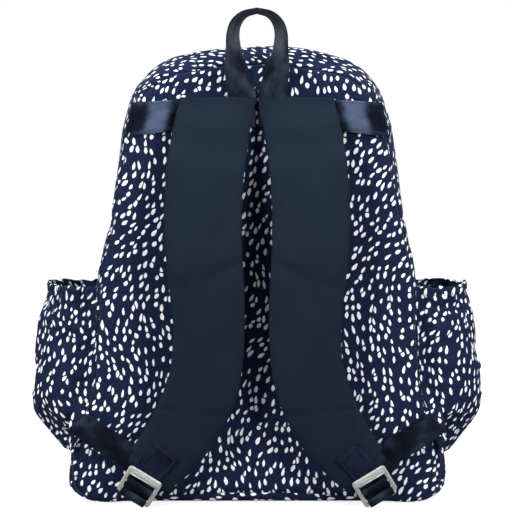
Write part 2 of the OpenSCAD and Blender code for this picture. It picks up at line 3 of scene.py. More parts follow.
import bpy
import numpy as np
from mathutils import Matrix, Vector


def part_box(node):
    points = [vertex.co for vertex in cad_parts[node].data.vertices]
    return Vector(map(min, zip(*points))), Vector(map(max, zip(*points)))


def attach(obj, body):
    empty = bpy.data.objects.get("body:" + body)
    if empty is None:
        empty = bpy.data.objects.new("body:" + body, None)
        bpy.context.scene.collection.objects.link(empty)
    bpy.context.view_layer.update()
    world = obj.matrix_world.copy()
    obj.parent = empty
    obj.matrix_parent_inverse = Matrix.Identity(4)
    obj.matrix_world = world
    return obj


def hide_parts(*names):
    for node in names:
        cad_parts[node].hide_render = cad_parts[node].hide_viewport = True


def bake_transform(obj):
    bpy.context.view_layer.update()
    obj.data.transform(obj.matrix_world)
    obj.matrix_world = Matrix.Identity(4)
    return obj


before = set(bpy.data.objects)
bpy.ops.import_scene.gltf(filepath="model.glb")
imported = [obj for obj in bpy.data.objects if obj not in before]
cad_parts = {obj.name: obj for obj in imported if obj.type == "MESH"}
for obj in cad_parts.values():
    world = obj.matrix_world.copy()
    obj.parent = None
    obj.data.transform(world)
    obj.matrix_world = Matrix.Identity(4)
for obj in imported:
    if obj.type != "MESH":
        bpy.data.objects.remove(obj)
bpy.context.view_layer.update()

# Racket backpack: cloth, padding, webbing and metal over the CAD frame. Metres, in the frame's own axes:
# +Z is up, -Y is the wearer's side with the straps, +Y is the front with the racket sleeve.

MM = 0.001
TAU = 2 * math.pi
RIGHT, FRONT, REAR, UP = (1, 0, 0), (0, 1, 0), (0, -1, 0), (0, 0, 1)

# ---- measures taken from the frame ----
PANEL_Y, BACK_Y = (corner[1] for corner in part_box("back_panel"))
HALF_W, _, BODY_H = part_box("back_panel")[1]
FRONT_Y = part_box("front_panel")[0][1]
FRONT_FACE_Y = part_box("front_panel")[1][1]
SLEEVE_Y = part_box("racket_sleeve_face")[1][1]
ACCESSORY_LO, ACCESSORY_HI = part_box("accessory_pocket")
BODY_D = FRONT_Y - BACK_Y
SLEEVE_MID_Y = FRONT_Y + (SLEEVE_Y - FRONT_Y) / 2
SCALE_X = HALF_W / (187 * MM)
SCALE_Z = BODY_H / (437 * MM)

# ---- shape lists, in millimetres, the same as the frame's ----
# Half outline of the back panel, from the middle of the base to the middle of the crown.
BACK_SHAPE = [
    (0, 10), (75, 7.5), (150, 0.5), (180, 8), (187, 30), (185, 56), (175, 86), (165, 116), (161, 160),
    (157, 222), (144, 283), (136, 330), (129, 372), (118, 400), (103, 416), (84, 426.1), (60, 431.5),
    (30, 435.6), (0, 437)]
# Greatest half width of a side pocket at each height.
POCKET_REACH = [
    (40, 187), (48, 191), (52, 195), (63, 206), (74, 215), (88, 223.5), (105, 226.5), (133, 224.5),
    (160, 220.5), (190, 214), (222, 204.5)]
# How far the gusset swells past the panel's edge at each height, as a share of its swell at the crown.
SWELL_SHARE = [(0, 0), (40, 0), (100, 0.2), (260, 0.2), (342, 0.5), (392, 0.74), (437, 1)]
# How far the sewn edge of the back panel lies inside the silhouette at each height.
SEAM_INSET = [(0, 3), (10, 6), (30, 9), (56, 9), (90, 6), (130, 3), (437, 2.5)]
CROWN_SWELL = 16 * MM
CROWN_PUFF = 6 * MM
CORNER_PUFF = 3 * MM
FLOOR_CLEAR = 0.3 * MM
# How much narrower and lower the front panel and the sleeve's face are than the back panel.
FRONT_TAPER, FRONT_LOW = 0.88, 0.975
SLEEVE_TAPER, SLEEVE_LOW = 0.85, 0.905
SLEEVE_RISE = 8 * MM * SCALE_Z
# Left strap's middle line: across, up, stand-off from the panel, half width.
STRAP_LINE = [
    (-37.8, 402.4, 2, 37), (-45.6, 364.7, 8, 37.7), (-50.2, 330, 20, 38), (-52.5, 287.8, 27, 37.8),
    (-51, 242.8, 30, 37.2), (-47.5, 199.7, 30, 35.8), (-47, 163.3, 29, 34.8), (-51, 128.9, 27, 34.8),
    (-61, 99, 24, 34.4), (-74.8, 73.4, 20, 33), (-88.8, 54, 16, 30.6), (-102.5, 38.6, 13, 27.7),
    (-107.6, 34, 12, 23.7)]
STRAP_T = 11.8
WEB_T = 1.5 * MM
WEB_W = 27 * MM


# ---- numbers ----
def mix(a, b, t):
    return a + (b - a) * t


def smooth(low, high, x):
    """0 below low, 1 above high, and an S between them."""
    t = np.clip((np.asarray(x, float) - low) / (high - low), 0, 1)
    return t * t * (3 - 2 * t)


def unit(v):
    v = np.asarray(v, float)
    return v / np.maximum(np.linalg.norm(v, axis=-1, keepdims=True), 1e-12)


def same(direction, count):
    """One direction, repeated for each of count points."""
    return np.tile(np.asarray(direction, float), (count, 1))


def table(rows, x):
    """A value read from (place, value) rows, in millimetres on both sides."""
    return np.interp(x, [r[0] for r in rows], [r[1] for r in rows])


def spline(points, t):
    """A smooth curve at places t, counted in points. The first and last points only steer it."""
    p = np.asarray(points, float)
    i = np.clip(np.floor(t).astype(int), 0, len(p) - 4)
    u = (np.asarray(t, float) - i)[..., None]
    a, b, c, d = p[i], p[i + 1], p[i + 2], p[i + 3]
    return 0.5 * (2 * b + (c - a) * u + (2 * a - 5 * b + 4 * c - d) * u**2 + (3 * b - a - 3 * c + d) * u**3)


def open_curve(points, t):
    """A smooth curve through all of the points, at places t counted in points."""
    p = np.asarray(points, float)
    ends = np.concatenate([[2 * p[0] - p[1]], p, [2 * p[-1] - p[-2]]])
    return spline(ends, np.asarray(t, float))


def lumps(seed, u, v, size):
    """Smooth noise from -1 to 1, with features of about one size, the same for the same seed."""
    count = 61
    values = np.random.RandomState(seed).uniform(-1, 1, (count, count))
    x, y = np.asarray(u, float) / size, np.asarray(v, float) / size
    i, j = np.floor(x).astype(int), np.floor(y).astype(int)
    fx, fy = x - i, y - j
    fx, fy = fx * fx * (3 - 2 * fx), fy * fy * (3 - 2 * fy)
    at = lambda a, b: values[(i + a) % count, (j + b) % count]
    return mix(mix(at(0, 0), at(1, 0), fx), mix(at(0, 1), at(1, 1), fx), fy)


def crumple(seed, u, v, size):
    """Softly folded cloth: large lumps with finer ones on them."""
    folds = lumps(seed, u, v, size) + 0.5 * lumps(seed + 1, u, v, size / 2.1)
    return folds + 0.22 * lumps(seed + 2, u, v, size / 4.3)


def rolled(distance, radius, depth):
    """How far a cloth edge falls away towards its seam, at a distance from it."""
    t = 1 - np.clip(distance / radius, 0, 1)
    return depth * (1 - np.sqrt(np.maximum(1 - t * t, 0)))


# ---- the body's surface ----
RING = 2 * (len(BACK_SHAPE) - 1)
S_BASE, S_SLEEVE_ZIP, S_ZIP, S_THROAT = 4, 9, 10, 16.5
ZIP_V = 0.72
ZIP_HALF = 7 * MM
GAP = 0.3 * MM
BASE_DROP = 0.055


def back_ring(s):
    """The silhouette of the back panel, x and z, at ring places s."""
    s = np.mod(s, RING)
    mirrored = s > RING / 2
    shape = [(-BACK_SHAPE[1][0], BACK_SHAPE[1][1])] + BACK_SHAPE + [(-BACK_SHAPE[-2][0], BACK_SHAPE[-2][1])]
    p = spline(shape, np.where(mirrored, RING - s, s)) * MM
    return p[..., 0] * SCALE_X * np.where(mirrored, -1, 1), np.maximum(p[..., 1], 0) * SCALE_Z


def ring_normal(s):
    """The silhouette's outward normal, x and z, at ring places s."""
    x0, z0 = back_ring(s - 0.5)
    x1, z1 = back_ring(s + 0.5)
    n = unit(np.stack([z1 - z0, x0 - x1], -1))
    return n[..., 0], n[..., 1]


def ring_outwards(s):
    """The normals at ring places s as vectors of the frame."""
    nx, nz = ring_normal(s)
    return np.stack([nx, 0 * nx, nz], -1)


def on_base(s):
    """1 along the arched rear edge of the base, 0 elsewhere."""
    s = np.mod(s, RING)
    return 1 - smooth(2.0, 2.7, np.minimum(s, RING - s))


def body_point(s, v, off=0.0):
    """A point of the bag's wall: ring place s, share of the depth v, and a distance off outwards."""
    s, v = np.broadcast_arrays(np.asarray(s, float), np.asarray(v, float))
    x, z = back_ring(s)
    nx, nz = ring_normal(s)
    arch = z * (1 - np.sin(math.pi / 2 * np.clip(v / BASE_DROP, 0, 1)))
    height = mix(z * mix(1, FRONT_LOW, v), arch, on_base(s))
    swell = CROWN_SWELL * table(SWELL_SHARE, z / SCALE_Z / MM) * np.sin(math.pi * v) + off
    y = BACK_Y + BODY_D * v
    return np.stack([x * mix(1, FRONT_TAPER, v) + nx * swell, y, height + nz * swell], -1)


def flat_ring(s, x_share, z_share, inset, lift=0.0):
    """The outline of a flat panel, x and z, as a share of the silhouette, set in towards its middle."""
    x, z = back_ring(s)
    nx, nz = ring_normal(s)
    z = z * z_share * (1 - on_base(s)) if lift or x_share < 1 else z
    return x * x_share - nx * inset, z + lift - nz * inset


# ---- meshes ----
class Shape:
    """Collects grids of points into one mesh, with its UVs in metres along the surface."""

    def __init__(self):
        self.points, self.faces, self.uvs, self.count = [], [], [], 0

    def grid(self, points, uv=None, wrap=False, caps=False, flip=False):
        """Rows by columns of points. wrap joins the last column to the first, caps closes the two ends."""
        points = np.asarray(points, float)
        rows, cols = points.shape[:2]
        across = cols if wrap else cols - 1
        i, j = np.meshgrid(np.arange(rows - 1), np.arange(across), indexing="ij")
        steps = [(0, 0), (0, 1), (1, 1), (1, 0)]
        if flip:
            steps.reverse()
        uv = surface_uv(points, wrap) if uv is None else uv
        quads = np.stack([(i + a) * cols + (j + b) % cols for a, b in steps], -1).reshape(-1, 4)
        self.faces += (quads + self.count).tolist()
        self.uvs.append(np.stack([uv[i + a, j + b] for a, b in steps], 2).reshape(-1, 2))
        if caps:
            for row, turned in ((0, flip), (rows - 1, not flip)):
                loop = np.arange(cols) + row * cols + self.count
                order = loop if turned else loop[::-1]
                self.faces.append(order.tolist())
                flat = uv[row, :cols]
                self.uvs.append(flat if turned else flat[::-1])
        self.points.append(points.reshape(-1, 3))
        self.count += rows * cols
        return self

    def build(self, name, material, weld=False):
        mesh = bpy.data.meshes.new(name)
        mesh.from_pydata(np.concatenate(self.points).tolist(), [], self.faces)
        layer = mesh.uv_layers.new(name="UVMap")
        layer.data.foreach_set("uv", np.concatenate(self.uvs).astype(np.float32).ravel())
        mesh.polygons.foreach_set("use_smooth", [True] * len(mesh.polygons))
        mesh.materials.append(material)
        obj = bpy.data.objects.new(name, mesh)
        bpy.context.scene.collection.objects.link(obj)
        if weld:
            mod = obj.modifiers.new("weld", "WELD")
            mod.merge_threshold = 0.02 * MM
        return obj


def surface_uv(points, wrap=False):
    """UVs in metres: across along each row, up along the middle column."""
    full = np.concatenate([points, points[:, :1]], 1) if wrap else points
    across = np.zeros(full.shape[:2])
    across[:, 1:] = np.cumsum(np.linalg.norm(np.diff(full, axis=1), axis=-1), 1)
    middle = full.shape[1] // 2
    across -= across[:, middle:middle + 1]
    up = np.zeros(full.shape[0])
    up[1:] = np.cumsum(np.linalg.norm(np.diff(full[:, middle], axis=0), axis=-1))
    return np.stack([across, np.broadcast_to(up[:, None], across.shape)], -1)


def grid_normals(points):
    """Unit normals of a grid, by the slopes along its rows and columns."""
    return unit(np.cross(np.gradient(points, axis=1), np.gradient(points, axis=0)))


def outward(points, normals, centre):
    """The normals turned, all together, so that most of them point away from centre."""
    away = ((points - np.asarray(centre)) * normals).sum()
    return normals if away > 0 else -normals


def thicken(obj, thickness):
    """Gives a sheet its thickness, inwards from the surface that shows."""
    mod = obj.modifiers.new("thickness", "SOLIDIFY")
    mod.thickness = thickness
    mod.offset = -1
    return obj


def mirrored(points):
    return points * np.array([-1, 1, 1])


def box_section(count, flat_across, flat_up):
    """A rounded rectangle from -1 to 1 both ways, as (across, up) points."""
    a = np.arange(count) / count * TAU
    power = lambda x, k: np.sign(x) * np.abs(x) ** k
    return power(np.cos(a), flat_across), power(np.sin(a), flat_up)


def ribbon(path, across, width, thickness, count=14, bow=0.0):
    """Rings of points for a strip of webbing: its middle line, the direction of its width, and how far its
    middle bows out."""
    path, across = np.asarray(path, float), unit(across)
    along = np.gradient(path, axis=0)
    up = unit(np.cross(along, across))
    a, b = box_section(count, 0.3, 0.7)
    width, thickness = np.broadcast_to(width, len(path)), np.broadcast_to(thickness, len(path))
    rise = b * thickness[:, None] / 2 + bow * (1 - a**2)
    rings = path[:, None] + across[:, None] * (a * width[:, None] / 2)[..., None]
    return rings + up[:, None] * rise[..., None]


def rod(start, end, radius, count):
    """Rings of points for a round bar."""
    start, end = np.asarray(start, float), np.asarray(end, float)
    along = unit(end - start)
    side = unit(np.cross(along, [0.3, 0.9, 0.2]))
    a = np.arange(count) / count * TAU
    ring = side * np.cos(a)[:, None] + np.cross(along, side) * np.sin(a)[:, None]
    return np.stack([start + ring * radius, end + ring * radius])


# ---- materials ----
class Material:
    """A principled material built from nodes. Values that are the same all over go straight on the shader."""

    def __init__(self, name, **uniform):
        self.data = bpy.data.materials.new(name)
        self.data.use_nodes = True
        self.tree = self.data.node_tree
        self.tree.nodes.clear()
        self.shader = self.node("ShaderNodeBsdfPrincipled")
        output = self.node("ShaderNodeOutputMaterial")
        self.tree.links.new(self.shader.outputs[0], output.inputs[0])
        for key, value in uniform.items():
            self.shader.inputs[key.replace("_", " ")].default_value = value

    def node(self, kind, **settings):
        made = self.tree.nodes.new(kind)
        for key, value in settings.items():
            setattr(made, key, value)
        return made

    def plug(self, socket, value):
        if isinstance(value, bpy.types.NodeSocket):
            self.tree.links.new(value, socket)
        else:
            socket.default_value = value

    def coords(self, kind="UV"):
        return self.node("ShaderNodeTexCoord").outputs[kind]

    def math(self, operation, *values, clamp=False):
        made = self.node("ShaderNodeMath", operation=operation, use_clamp=clamp)
        for socket, value in zip(made.inputs, values):
            self.plug(socket, value)
        return made.outputs[0]

    def vector(self, operation, *values):
        made = self.node("ShaderNodeVectorMath", operation=operation)
        for socket, value in zip(made.inputs, values):
            self.plug(socket, value)
        return made.outputs["Value" if operation in ("DOT_PRODUCT", "LENGTH") else "Vector"]

    def split(self, vector):
        made = self.node("ShaderNodeSeparateXYZ")
        self.plug(made.inputs[0], vector)
        return made.outputs

    def ramp(self, value, low, high, to_low=0.0, to_high=1.0):
        """An S from to_low to to_high as value goes from low to high."""
        made = self.node("ShaderNodeMapRange", interpolation_type="SMOOTHSTEP")
        for socket, v in zip(made.inputs, (value, low, high, to_low, to_high)):
            self.plug(socket, v)
        return made.outputs[0]

    def mix(self, share, a, b):
        made = self.node("ShaderNodeMix", data_type="RGBA")
        for index, value in ((0, share), (6, a), (7, b)):
            self.plug(made.inputs[index], value)
        return made.outputs[2]

    def noise(self, vector, scale, detail, stretch=None):
        if stretch:
            vector = self.vector("MULTIPLY", vector, stretch)
        made = self.node("ShaderNodeTexNoise")
        self.plug(made.inputs["Vector"], vector)
        made.inputs["Scale"].default_value = scale
        made.inputs["Detail"].default_value = detail
        return made.outputs[0]

    def wave(self, vector, direction, pitch):
        """A sine from -1 to 1 along a direction, one turn for each pitch."""
        along = self.vector("DOT_PRODUCT", vector, tuple(c * TAU / pitch for c in direction))
        return self.math("SINE", along)

    def bump(self, height, strength, distance):
        made = self.node("ShaderNodeBump")
        made.inputs["Strength"].default_value = strength
        made.inputs["Distance"].default_value = distance
        self.plug(made.inputs["Height"], height)
        self.tree.links.new(made.outputs[0], self.shader.inputs["Normal"])

    def set(self, **values):
        for key, value in values.items():
            self.plug(self.shader.inputs[key.replace("_", " ")], value)
        return self.data

    def surface(self, share, colours, roughness, worn=None):
        """Colours mixed by share, and a roughness between two values by worn, or by share without it."""
        worn = share if worn is None else worn
        return self.set(Base_Color=self.mix(share, *colours), Roughness=self.ramp(worn, 0.3, 0.7, *roughness))


DAB_ACROSS, DAB_UP = 7.9 * MM, 10.2 * MM
NAVY = (0.0095, 0.0165, 0.048, 1)
NAVY_DEEP = (0.006, 0.0105, 0.03, 1)


def dabbed_print(shift, size=1.0):
    """Navy woven cloth with brushed white dabs, each a slanted oval with a ragged edge."""
    m = Material("dabbed_print", Sheen_Weight=0.01, Sheen_Roughness=0.4, Specular_IOR_Level=0.03)
    uv = m.vector("ADD", m.coords(), (shift, shift * 0.7, 0))
    wander = m.node("ShaderNodeTexNoise")
    m.plug(wander.inputs["Vector"], uv)
    wander.inputs["Scale"].default_value = 24
    wander.inputs["Detail"].default_value = 0
    cells = m.vector("ADD", uv, m.vector("MULTIPLY", wander.outputs["Color"], (9 * MM, 9 * MM, 0)))
    cells = m.vector("MULTIPLY", cells, (1 / DAB_ACROSS, 1 / DAB_UP, 0))
    spot = m.node("ShaderNodeTexVoronoi", voronoi_dimensions="2D")
    border = m.node("ShaderNodeTexVoronoi", voronoi_dimensions="2D", feature="DISTANCE_TO_EDGE")
    for made in (spot, border):
        m.plug(made.inputs["Vector"], cells)
        made.inputs["Scale"].default_value = 1
        made.inputs["Randomness"].default_value = 0.77
    local = m.vector("SUBTRACT", cells, spot.outputs["Position"])
    local = m.vector("MULTIPLY", local, (DAB_ACROSS / MM, DAB_UP / MM, 0))
    chance = m.split(spot.outputs["Color"])
    turn = m.node("ShaderNodeVectorRotate", rotation_type="Z_AXIS")
    m.plug(turn.inputs["Vector"], local)
    drift = m.ramp(m.noise(uv, 9, 1), 0.35, 0.65, -0.45, 0.4)
    m.plug(turn.inputs["Angle"], m.math("MULTIPLY_ADD", chance[0], 0.6, drift))
    x, y, _ = m.split(turn.outputs[0])
    half_wide = m.ramp(chance[1], 0, 1, 1.2 * size, 1.85 * size)
    half_long = m.ramp(chance[2], 0, 1, 2.6 * size, 4.1 * size)
    wide = m.math("DIVIDE", x, m.math("MULTIPLY_ADD", y, -0.11, half_wide))
    far = m.math("ADD", m.math("POWER", m.math("ABSOLUTE", wide), 1.7),
                 m.math("POWER", m.math("ABSOLUTE", m.math("DIVIDE", y, half_long)), 1.55))
    ragged = m.noise(uv, 430, 3, (1, 0.7, 1))
    far = m.math("MULTIPLY_ADD", ragged, 1.0, m.math("SUBTRACT", far, 0.5))
    dab = m.math("MULTIPLY", m.ramp(far, 0.9, 1.06, 1, 0), m.ramp(border.outputs[0], 0.05, 0.09))
    brushed = m.noise(uv, 900, 2, (1, 0.25, 1))
    white = m.mix(m.ramp(brushed, 0.25, 0.62), (0.60, 0.63, 0.72, 1), (0.86, 0.875, 0.90, 1))
    twill = m.wave(uv, (0.75, 0.66, 0), 0.75 * MM)
    threads = m.math("MULTIPLY_ADD", twill, 0.5, 0.5)
    cloudy = m.noise(uv, 38, 3)
    dark = m.mix(m.math("MULTIPLY_ADD", threads, 0.55, m.math("MULTIPLY", cloudy, 0.45)), NAVY_DEEP, NAVY)
    weave = m.math("MULTIPLY", m.wave(uv, (1, 0, 0), 0.42 * MM), m.wave(uv, (0, 1, 0), 0.42 * MM))
    height = m.math("MULTIPLY_ADD", twill, 0.5, m.math("MULTIPLY", weave, 0.4))
    m.bump(m.math("MULTIPLY_ADD", cloudy, 0.6, height), 0.35, 0.12 * MM)
    return m.surface(dab, (dark, white), (0.62, 0.8), cloudy)


def strap_twill():
    """Plain dark teal-navy twill with a fine diagonal line."""
    m = Material("strap_twill", Sheen_Weight=0.01, Sheen_Roughness=0.35, Specular_IOR_Level=0.03)
    uv = m.coords()
    twill = m.wave(uv, (0.7, 0.71, 0), 0.62 * MM)
    fine = m.wave(uv, (0, 1, 0), 0.31 * MM)
    cloudy = m.noise(uv, 26, 4)
    slub = m.noise(uv, 700, 2, (1, 0.15, 1))
    share = m.math("MULTIPLY_ADD", slub, 0.5, m.math("MULTIPLY", cloudy, 0.4))
    share = m.math("MULTIPLY_ADD", twill, 0.22, share)
    colours = (0.005, 0.0092, 0.0152, 1), (0.0098, 0.018, 0.0295, 1)
    height = m.math("MULTIPLY_ADD", fine, 0.3, m.math("ADD", twill, m.math("MULTIPLY", cloudy, 1.5)))
    m.bump(height, 0.4, 0.10 * MM)
    return m.surface(m.ramp(share, 0.1, 0.8), colours, (0.58, 0.74), slub)


def webbing(name, dark, light, rough=0.42, shine=0.13, contrast=(0.3, 0.72), gleam=None):
    """Ribbed webbing with a satin face. Its colour is partly painted sheen: lighter blotches and streaks
    stand for satin highlights and shade, and a painted highlight lies across it at one place along it if
    gleam says where.
    """
    m = Material(name, Specular_Tint=(0.75, 0.85, 1, 1), Sheen_Weight=0.01)
    uv = m.coords()
    rib = m.wave(uv, (0, 1, 0), 1.15 * MM)
    thread = m.wave(uv, (1, 0, 0), 0.8 * MM)
    # the patches mix in the light colour: partly the weave's tone, partly painted sheen and shade
    sheen_and_tone_patches = m.noise(uv, 55, 3, (1, 0.6, 1))
    share = m.math("MULTIPLY_ADD", rib, 0.12, m.math("MULTIPLY_ADD", thread, 0.06, sheen_and_tone_patches))
    if gleam:
        # a painted highlight across the webbing at gleam: worn marks it, full within 5 mm and gone by 17 mm,
        # and it pushes the colour to its light end
        away = m.math("ABSOLUTE", m.math("SUBTRACT", m.split(uv)[1], gleam))
        worn = m.ramp(away, 5 * MM, 17 * MM, 1, 0)
        share = m.math("MULTIPLY_ADD", worn, 0.42, m.math("MULTIPLY", share, 0.9))
    m.bump(m.math("MULTIPLY_ADD", thread, 0.5, rib), 0.5, 0.13 * MM)
    # flat is the share of the light colour, which is partly painted sheen
    flat = m.ramp(share, *contrast)
    m.set(Specular_IOR_Level=m.math("MULTIPLY", m.ramp(flat, 0, 1, 0.25, 1.6), shine))
    return m.surface(flat, (dark, light), (rough, rough + 0.16), sheen_and_tone_patches)


def grosgrain(name, colour, lighter):
    """Narrow ribbed tape for bindings and zip tapes."""
    m = Material(name, Specular_IOR_Level=0.15, Sheen_Weight=0.05)
    at = m.coords()
    rib = m.wave(at, (0, 1, 0), 0.9 * MM)
    herring = m.wave(at, (1, 0.4, 0), 0.6 * MM)
    mottled = m.noise(at, 220, 2)
    m.bump(m.math("MULTIPLY_ADD", herring, 0.5, rib), 0.5, 0.1 * MM)
    return m.surface(mottled, (colour, lighter), (0.6, 0.8))


def grained(name, colours, roughness, scale, detail, strength, distance, gloss=0.4):
    """A plain material whose one grain shows in its colour, its roughness and its relief."""
    m = Material(name, Specular_IOR_Level=gloss)
    grain = m.noise(m.coords("Object"), scale, detail)
    m.bump(grain, strength, distance)
    return m.surface(grain, colours, roughness)


def thread(name, colour, lighter):
    return grained(name, (colour, lighter), (0.45, 0.7), 3000, 1, 0.3, 0.05 * MM)


def plated_metal(name, colour, worn, rough):
    """Satin plating with fine scratches and a little wear."""
    m = Material(name, Metallic=0.75)
    at = m.coords("Object")
    scratches = m.noise(at, 260, 3, (1, 1, 9))
    blotches = m.noise(at, 90, 2)
    m.bump(scratches, 0.12, 0.06 * MM)
    share = m.math("MULTIPLY_ADD", scratches, 0.5, m.math("MULTIPLY", blotches, 0.5))
    return m.surface(share, (worn, colour), (rough + 0.12, rough))


def knurled_metal(name, colour, pit_shade, pitch):
    """The same plating on a diamond-knurled grip, with painted shade in its pits."""
    m = Material(name, Metallic=0.75)
    at = m.coords()
    one = m.math("ABSOLUTE", m.wave(at, (1, 1, 0), 2 * pitch))
    other = m.math("ABSOLUTE", m.wave(at, (1, -1, 0), 2 * pitch))
    peak = m.math("MULTIPLY", one, other)
    m.bump(m.noise(m.coords("Object"), 260, 3), 0.12, 0.06 * MM)
    # painted shade: the colour turns near black in the knurl's pits
    colours = m.mix(m.ramp(peak, 0.02, 0.5), pit_shade, colour)
    return m.set(Base_Color=colours, Roughness=m.ramp(peak, 0, 1, 0.5, 0.28))


def lining_cloth():
    m = Material("lining", Sheen_Weight=0.2, Specular_IOR_Level=0.3)
    at = m.coords("Object")
    weave = m.math("MULTIPLY", m.wave(at, (1, 0, 0.3), 0.8 * MM), m.wave(at, (0, 0.3, 1), 0.8 * MM))
    cloudy = m.noise(at, 60, 3)
    m.bump(weave, 0.4, 0.1 * MM)
    return m.surface(cloudy, ((0.26, 0.29, 0.35, 1), (0.38, 0.41, 0.47, 1)), (0.7, 0.85))


def air_mesh():
    """Open spacer mesh on the wearer's side of the straps: a lattice of small round holes."""
    m = Material("air_mesh", Specular_IOR_Level=0.25, Sheen_Weight=0.2)
    at = m.coords()
    holes = m.node("ShaderNodeTexVoronoi", voronoi_dimensions="2D")
    m.plug(holes.inputs["Vector"], at)
    holes.inputs["Scale"].default_value = 1 / (2.4 * MM)
    holes.inputs["Randomness"].default_value = 0.1
    rim = m.ramp(holes.outputs["Distance"], 0.2, 0.42)
    m.bump(rim, 0.8, 0.5 * MM)
    colour = m.mix(rim, (0.003, 0.004, 0.006, 1), (0.016, 0.02, 0.034, 1))
    return m.set(Base_Color=colour, Roughness=m.ramp(rim, 0, 1, 0.9, 0.65))


TWILL = strap_twill()
# Each webbing's light colour is partly painted sheen, mixed in by its patches.
WEBBING = webbing("webbing", (0.0028, 0.0038, 0.008, 1), (0.029, 0.037, 0.066, 1), contrast=(0.37, 0.68))
# The band's bright blue light colour is a painted highlight, strongest at the gleam 29 mm along it.
BAND_WEBBING = webbing("band_webbing", (0.0026, 0.0036, 0.008, 1), (0.055, 0.08, 0.145, 1), 0.34,
                       contrast=(0.42, 1), gleam=29 * MM)
LOWER_WEBBING = webbing("lower_webbing", (0.0028, 0.0038, 0.008, 1), (0.026, 0.034, 0.062, 1),
                        contrast=(0.5, 0.84))
TAB_WEBBING = webbing("tab_webbing", (0.0035, 0.0042, 0.013, 1), (0.0085, 0.010, 0.028, 1), 0.5, 0.06)
BINDING = grosgrain("binding_tape", (0.007, 0.010, 0.026, 1), (0.016, 0.022, 0.050, 1))
ZIP_TAPE = grosgrain("zip_tape", (0.006, 0.009, 0.022, 1), (0.013, 0.018, 0.040, 1))
COIL = thread("zip_coil", (0.010, 0.014, 0.032, 1), (0.022, 0.028, 0.06, 1))
THREAD = thread("thread", (0.006, 0.009, 0.022, 1), (0.022, 0.030, 0.06, 1))
METAL = plated_metal("silver_metal", (0.42, 0.425, 0.43, 1), (0.30, 0.305, 0.31, 1), 0.3)
KNURL_PITCH = 2.1 * MM
# the second colour is the painted shade in the knurl's pits
KNURLED = knurled_metal("knurled_metal", (0.46, 0.465, 0.47, 1), (0.07, 0.07, 0.075, 1), KNURL_PITCH)
FOAM = grained("foam", ((0.11, 0.11, 0.12, 1), (0.2, 0.2, 0.21, 1)), (0.8, 0.95), 900, 2, 0.6, 0.3 * MM, 0.3)
BOARD = grained("board", ((0.02, 0.02, 0.021, 1), (0.045, 0.045, 0.046, 1)), (0.5, 0.7), 1400, 2, 0.3,
                0.08 * MM)
LINING = lining_cloth()
MESH = air_mesh()
ELASTIC = grosgrain("elastic", (0.008, 0.008, 0.009, 1), (0.02, 0.02, 0.022, 1))


# ---- pieces: what rides where, and what it stands for ----
def piece(obj, body, nodes=()):
    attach(obj, body)
    if nodes:
        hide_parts(*nodes)
    return obj


def cut_size(uv):
    """Width and length of a flat cut, and its area, from a grid's UVs."""
    wide = uv[..., 0].max() - uv[..., 0].min()
    tall = uv[..., 1].max() - uv[..., 1].min()
    area = float((np.diff(uv[..., 0], axis=1).sum(1)[:-1] * np.diff(uv[:, 0, 1])).sum())
    return (float(wide), float(tall)), abs(area)


# How far the print is shifted from one sheet to the next.
PRINT_SHIFT = 0.013


def cloth(name, points, nodes, seed, thickness=1.2 * MM, centre=(0, 0, 0.2), uv=None,
          relax=None, dabs=0.93):
    """A sheet of the printed cloth on a grid of points, turned outwards, with its thickness inwards. Its
    print reads from outside."""
    uv = surface_uv(points) if uv is None else uv
    flip = ((points - np.asarray(centre)) * grid_normals(points)).sum() < 0
    if flip:
        uv = uv * np.array([-1, 1])
    obj = Shape().grid(points, uv, flip=flip).build(name, dabbed_print(PRINT_SHIFT * seed, dabs))
    if relax:
        settle(obj, points.shape[:2], **relax)
    thicken(obj, thickness)
    piece(obj, "bag", nodes)
    return obj


SETTLING = []
SETTLE_FRAMES = 20
CLOTH_SETTINGS = {
    "vertex_group_mass": "sewn", "quality": 5, "mass": 0.2, "tension_stiffness": 20,
    "compression_stiffness": 20, "shear_stiffness": 8, "bending_stiffness": 0.4, "use_pressure": True}


def settle(obj, size, pressure, spare, cap, hem=1):
    """Readies a sheet for the cloth simulation: its border and the last hem rows are sewn down, and it has
    some spare cloth to fold."""
    rows, columns = size
    i, j = np.divmod(np.arange(rows * columns), columns)
    border = (i < 1) | (i >= rows - hem) | (j < 1) | (j > columns - 2)
    obj.vertex_groups.new(name="sewn").add(np.nonzero(border)[0].tolist(), 1.0, "REPLACE")
    settings = obj.modifiers.new("settle", "CLOTH").settings
    for key, value in CLOTH_SETTINGS.items():
        setattr(settings, key, value)
    settings.uniform_pressure_force = pressure
    settings.shrink_min = -spare
    settings.effector_weights.gravity = 0
    SETTLING.append((obj, cap))


def run_settling():
    """Runs every sheet's simulation together, then keeps the result as plain shape. No sheet moves further
    than its cap."""
    for obj, _ in SETTLING:
        cache = obj.modifiers["settle"].point_cache
        cache.frame_start, cache.frame_end = 1, SETTLE_FRAMES
        obj.modifiers["thickness"].show_viewport = False
    for frame_number in range(1, SETTLE_FRAMES + 1):
        scene.frame_set(frame_number)
    graph = bpy.context.evaluated_depsgraph_get()
    for obj, cap in SETTLING:
        count = len(obj.data.vertices)
        before, after = np.empty(count * 3), np.empty(count * 3)
        obj.data.vertices.foreach_get("co", before)
        obj.evaluated_get(graph).data.vertices.foreach_get("co", after)
        move = (after - before).reshape(-1, 3)
        far = np.maximum(np.linalg.norm(move, axis=1, keepdims=True), 1e-9)
        move *= np.minimum(1, cap * np.tanh(far / cap) / far)
        largest = float(np.linalg.norm(move, axis=1).max()) / MM
        print("settled", obj.name, "largest move in mm", round(largest, 2))
        obj.modifiers.remove(obj.modifiers["settle"])
        obj.vertex_groups.clear()
        obj.data.vertices.foreach_set("co", before + move.ravel())
        obj.data.update()
        obj.modifiers["thickness"].show_viewport = True
    scene.frame_set(1)


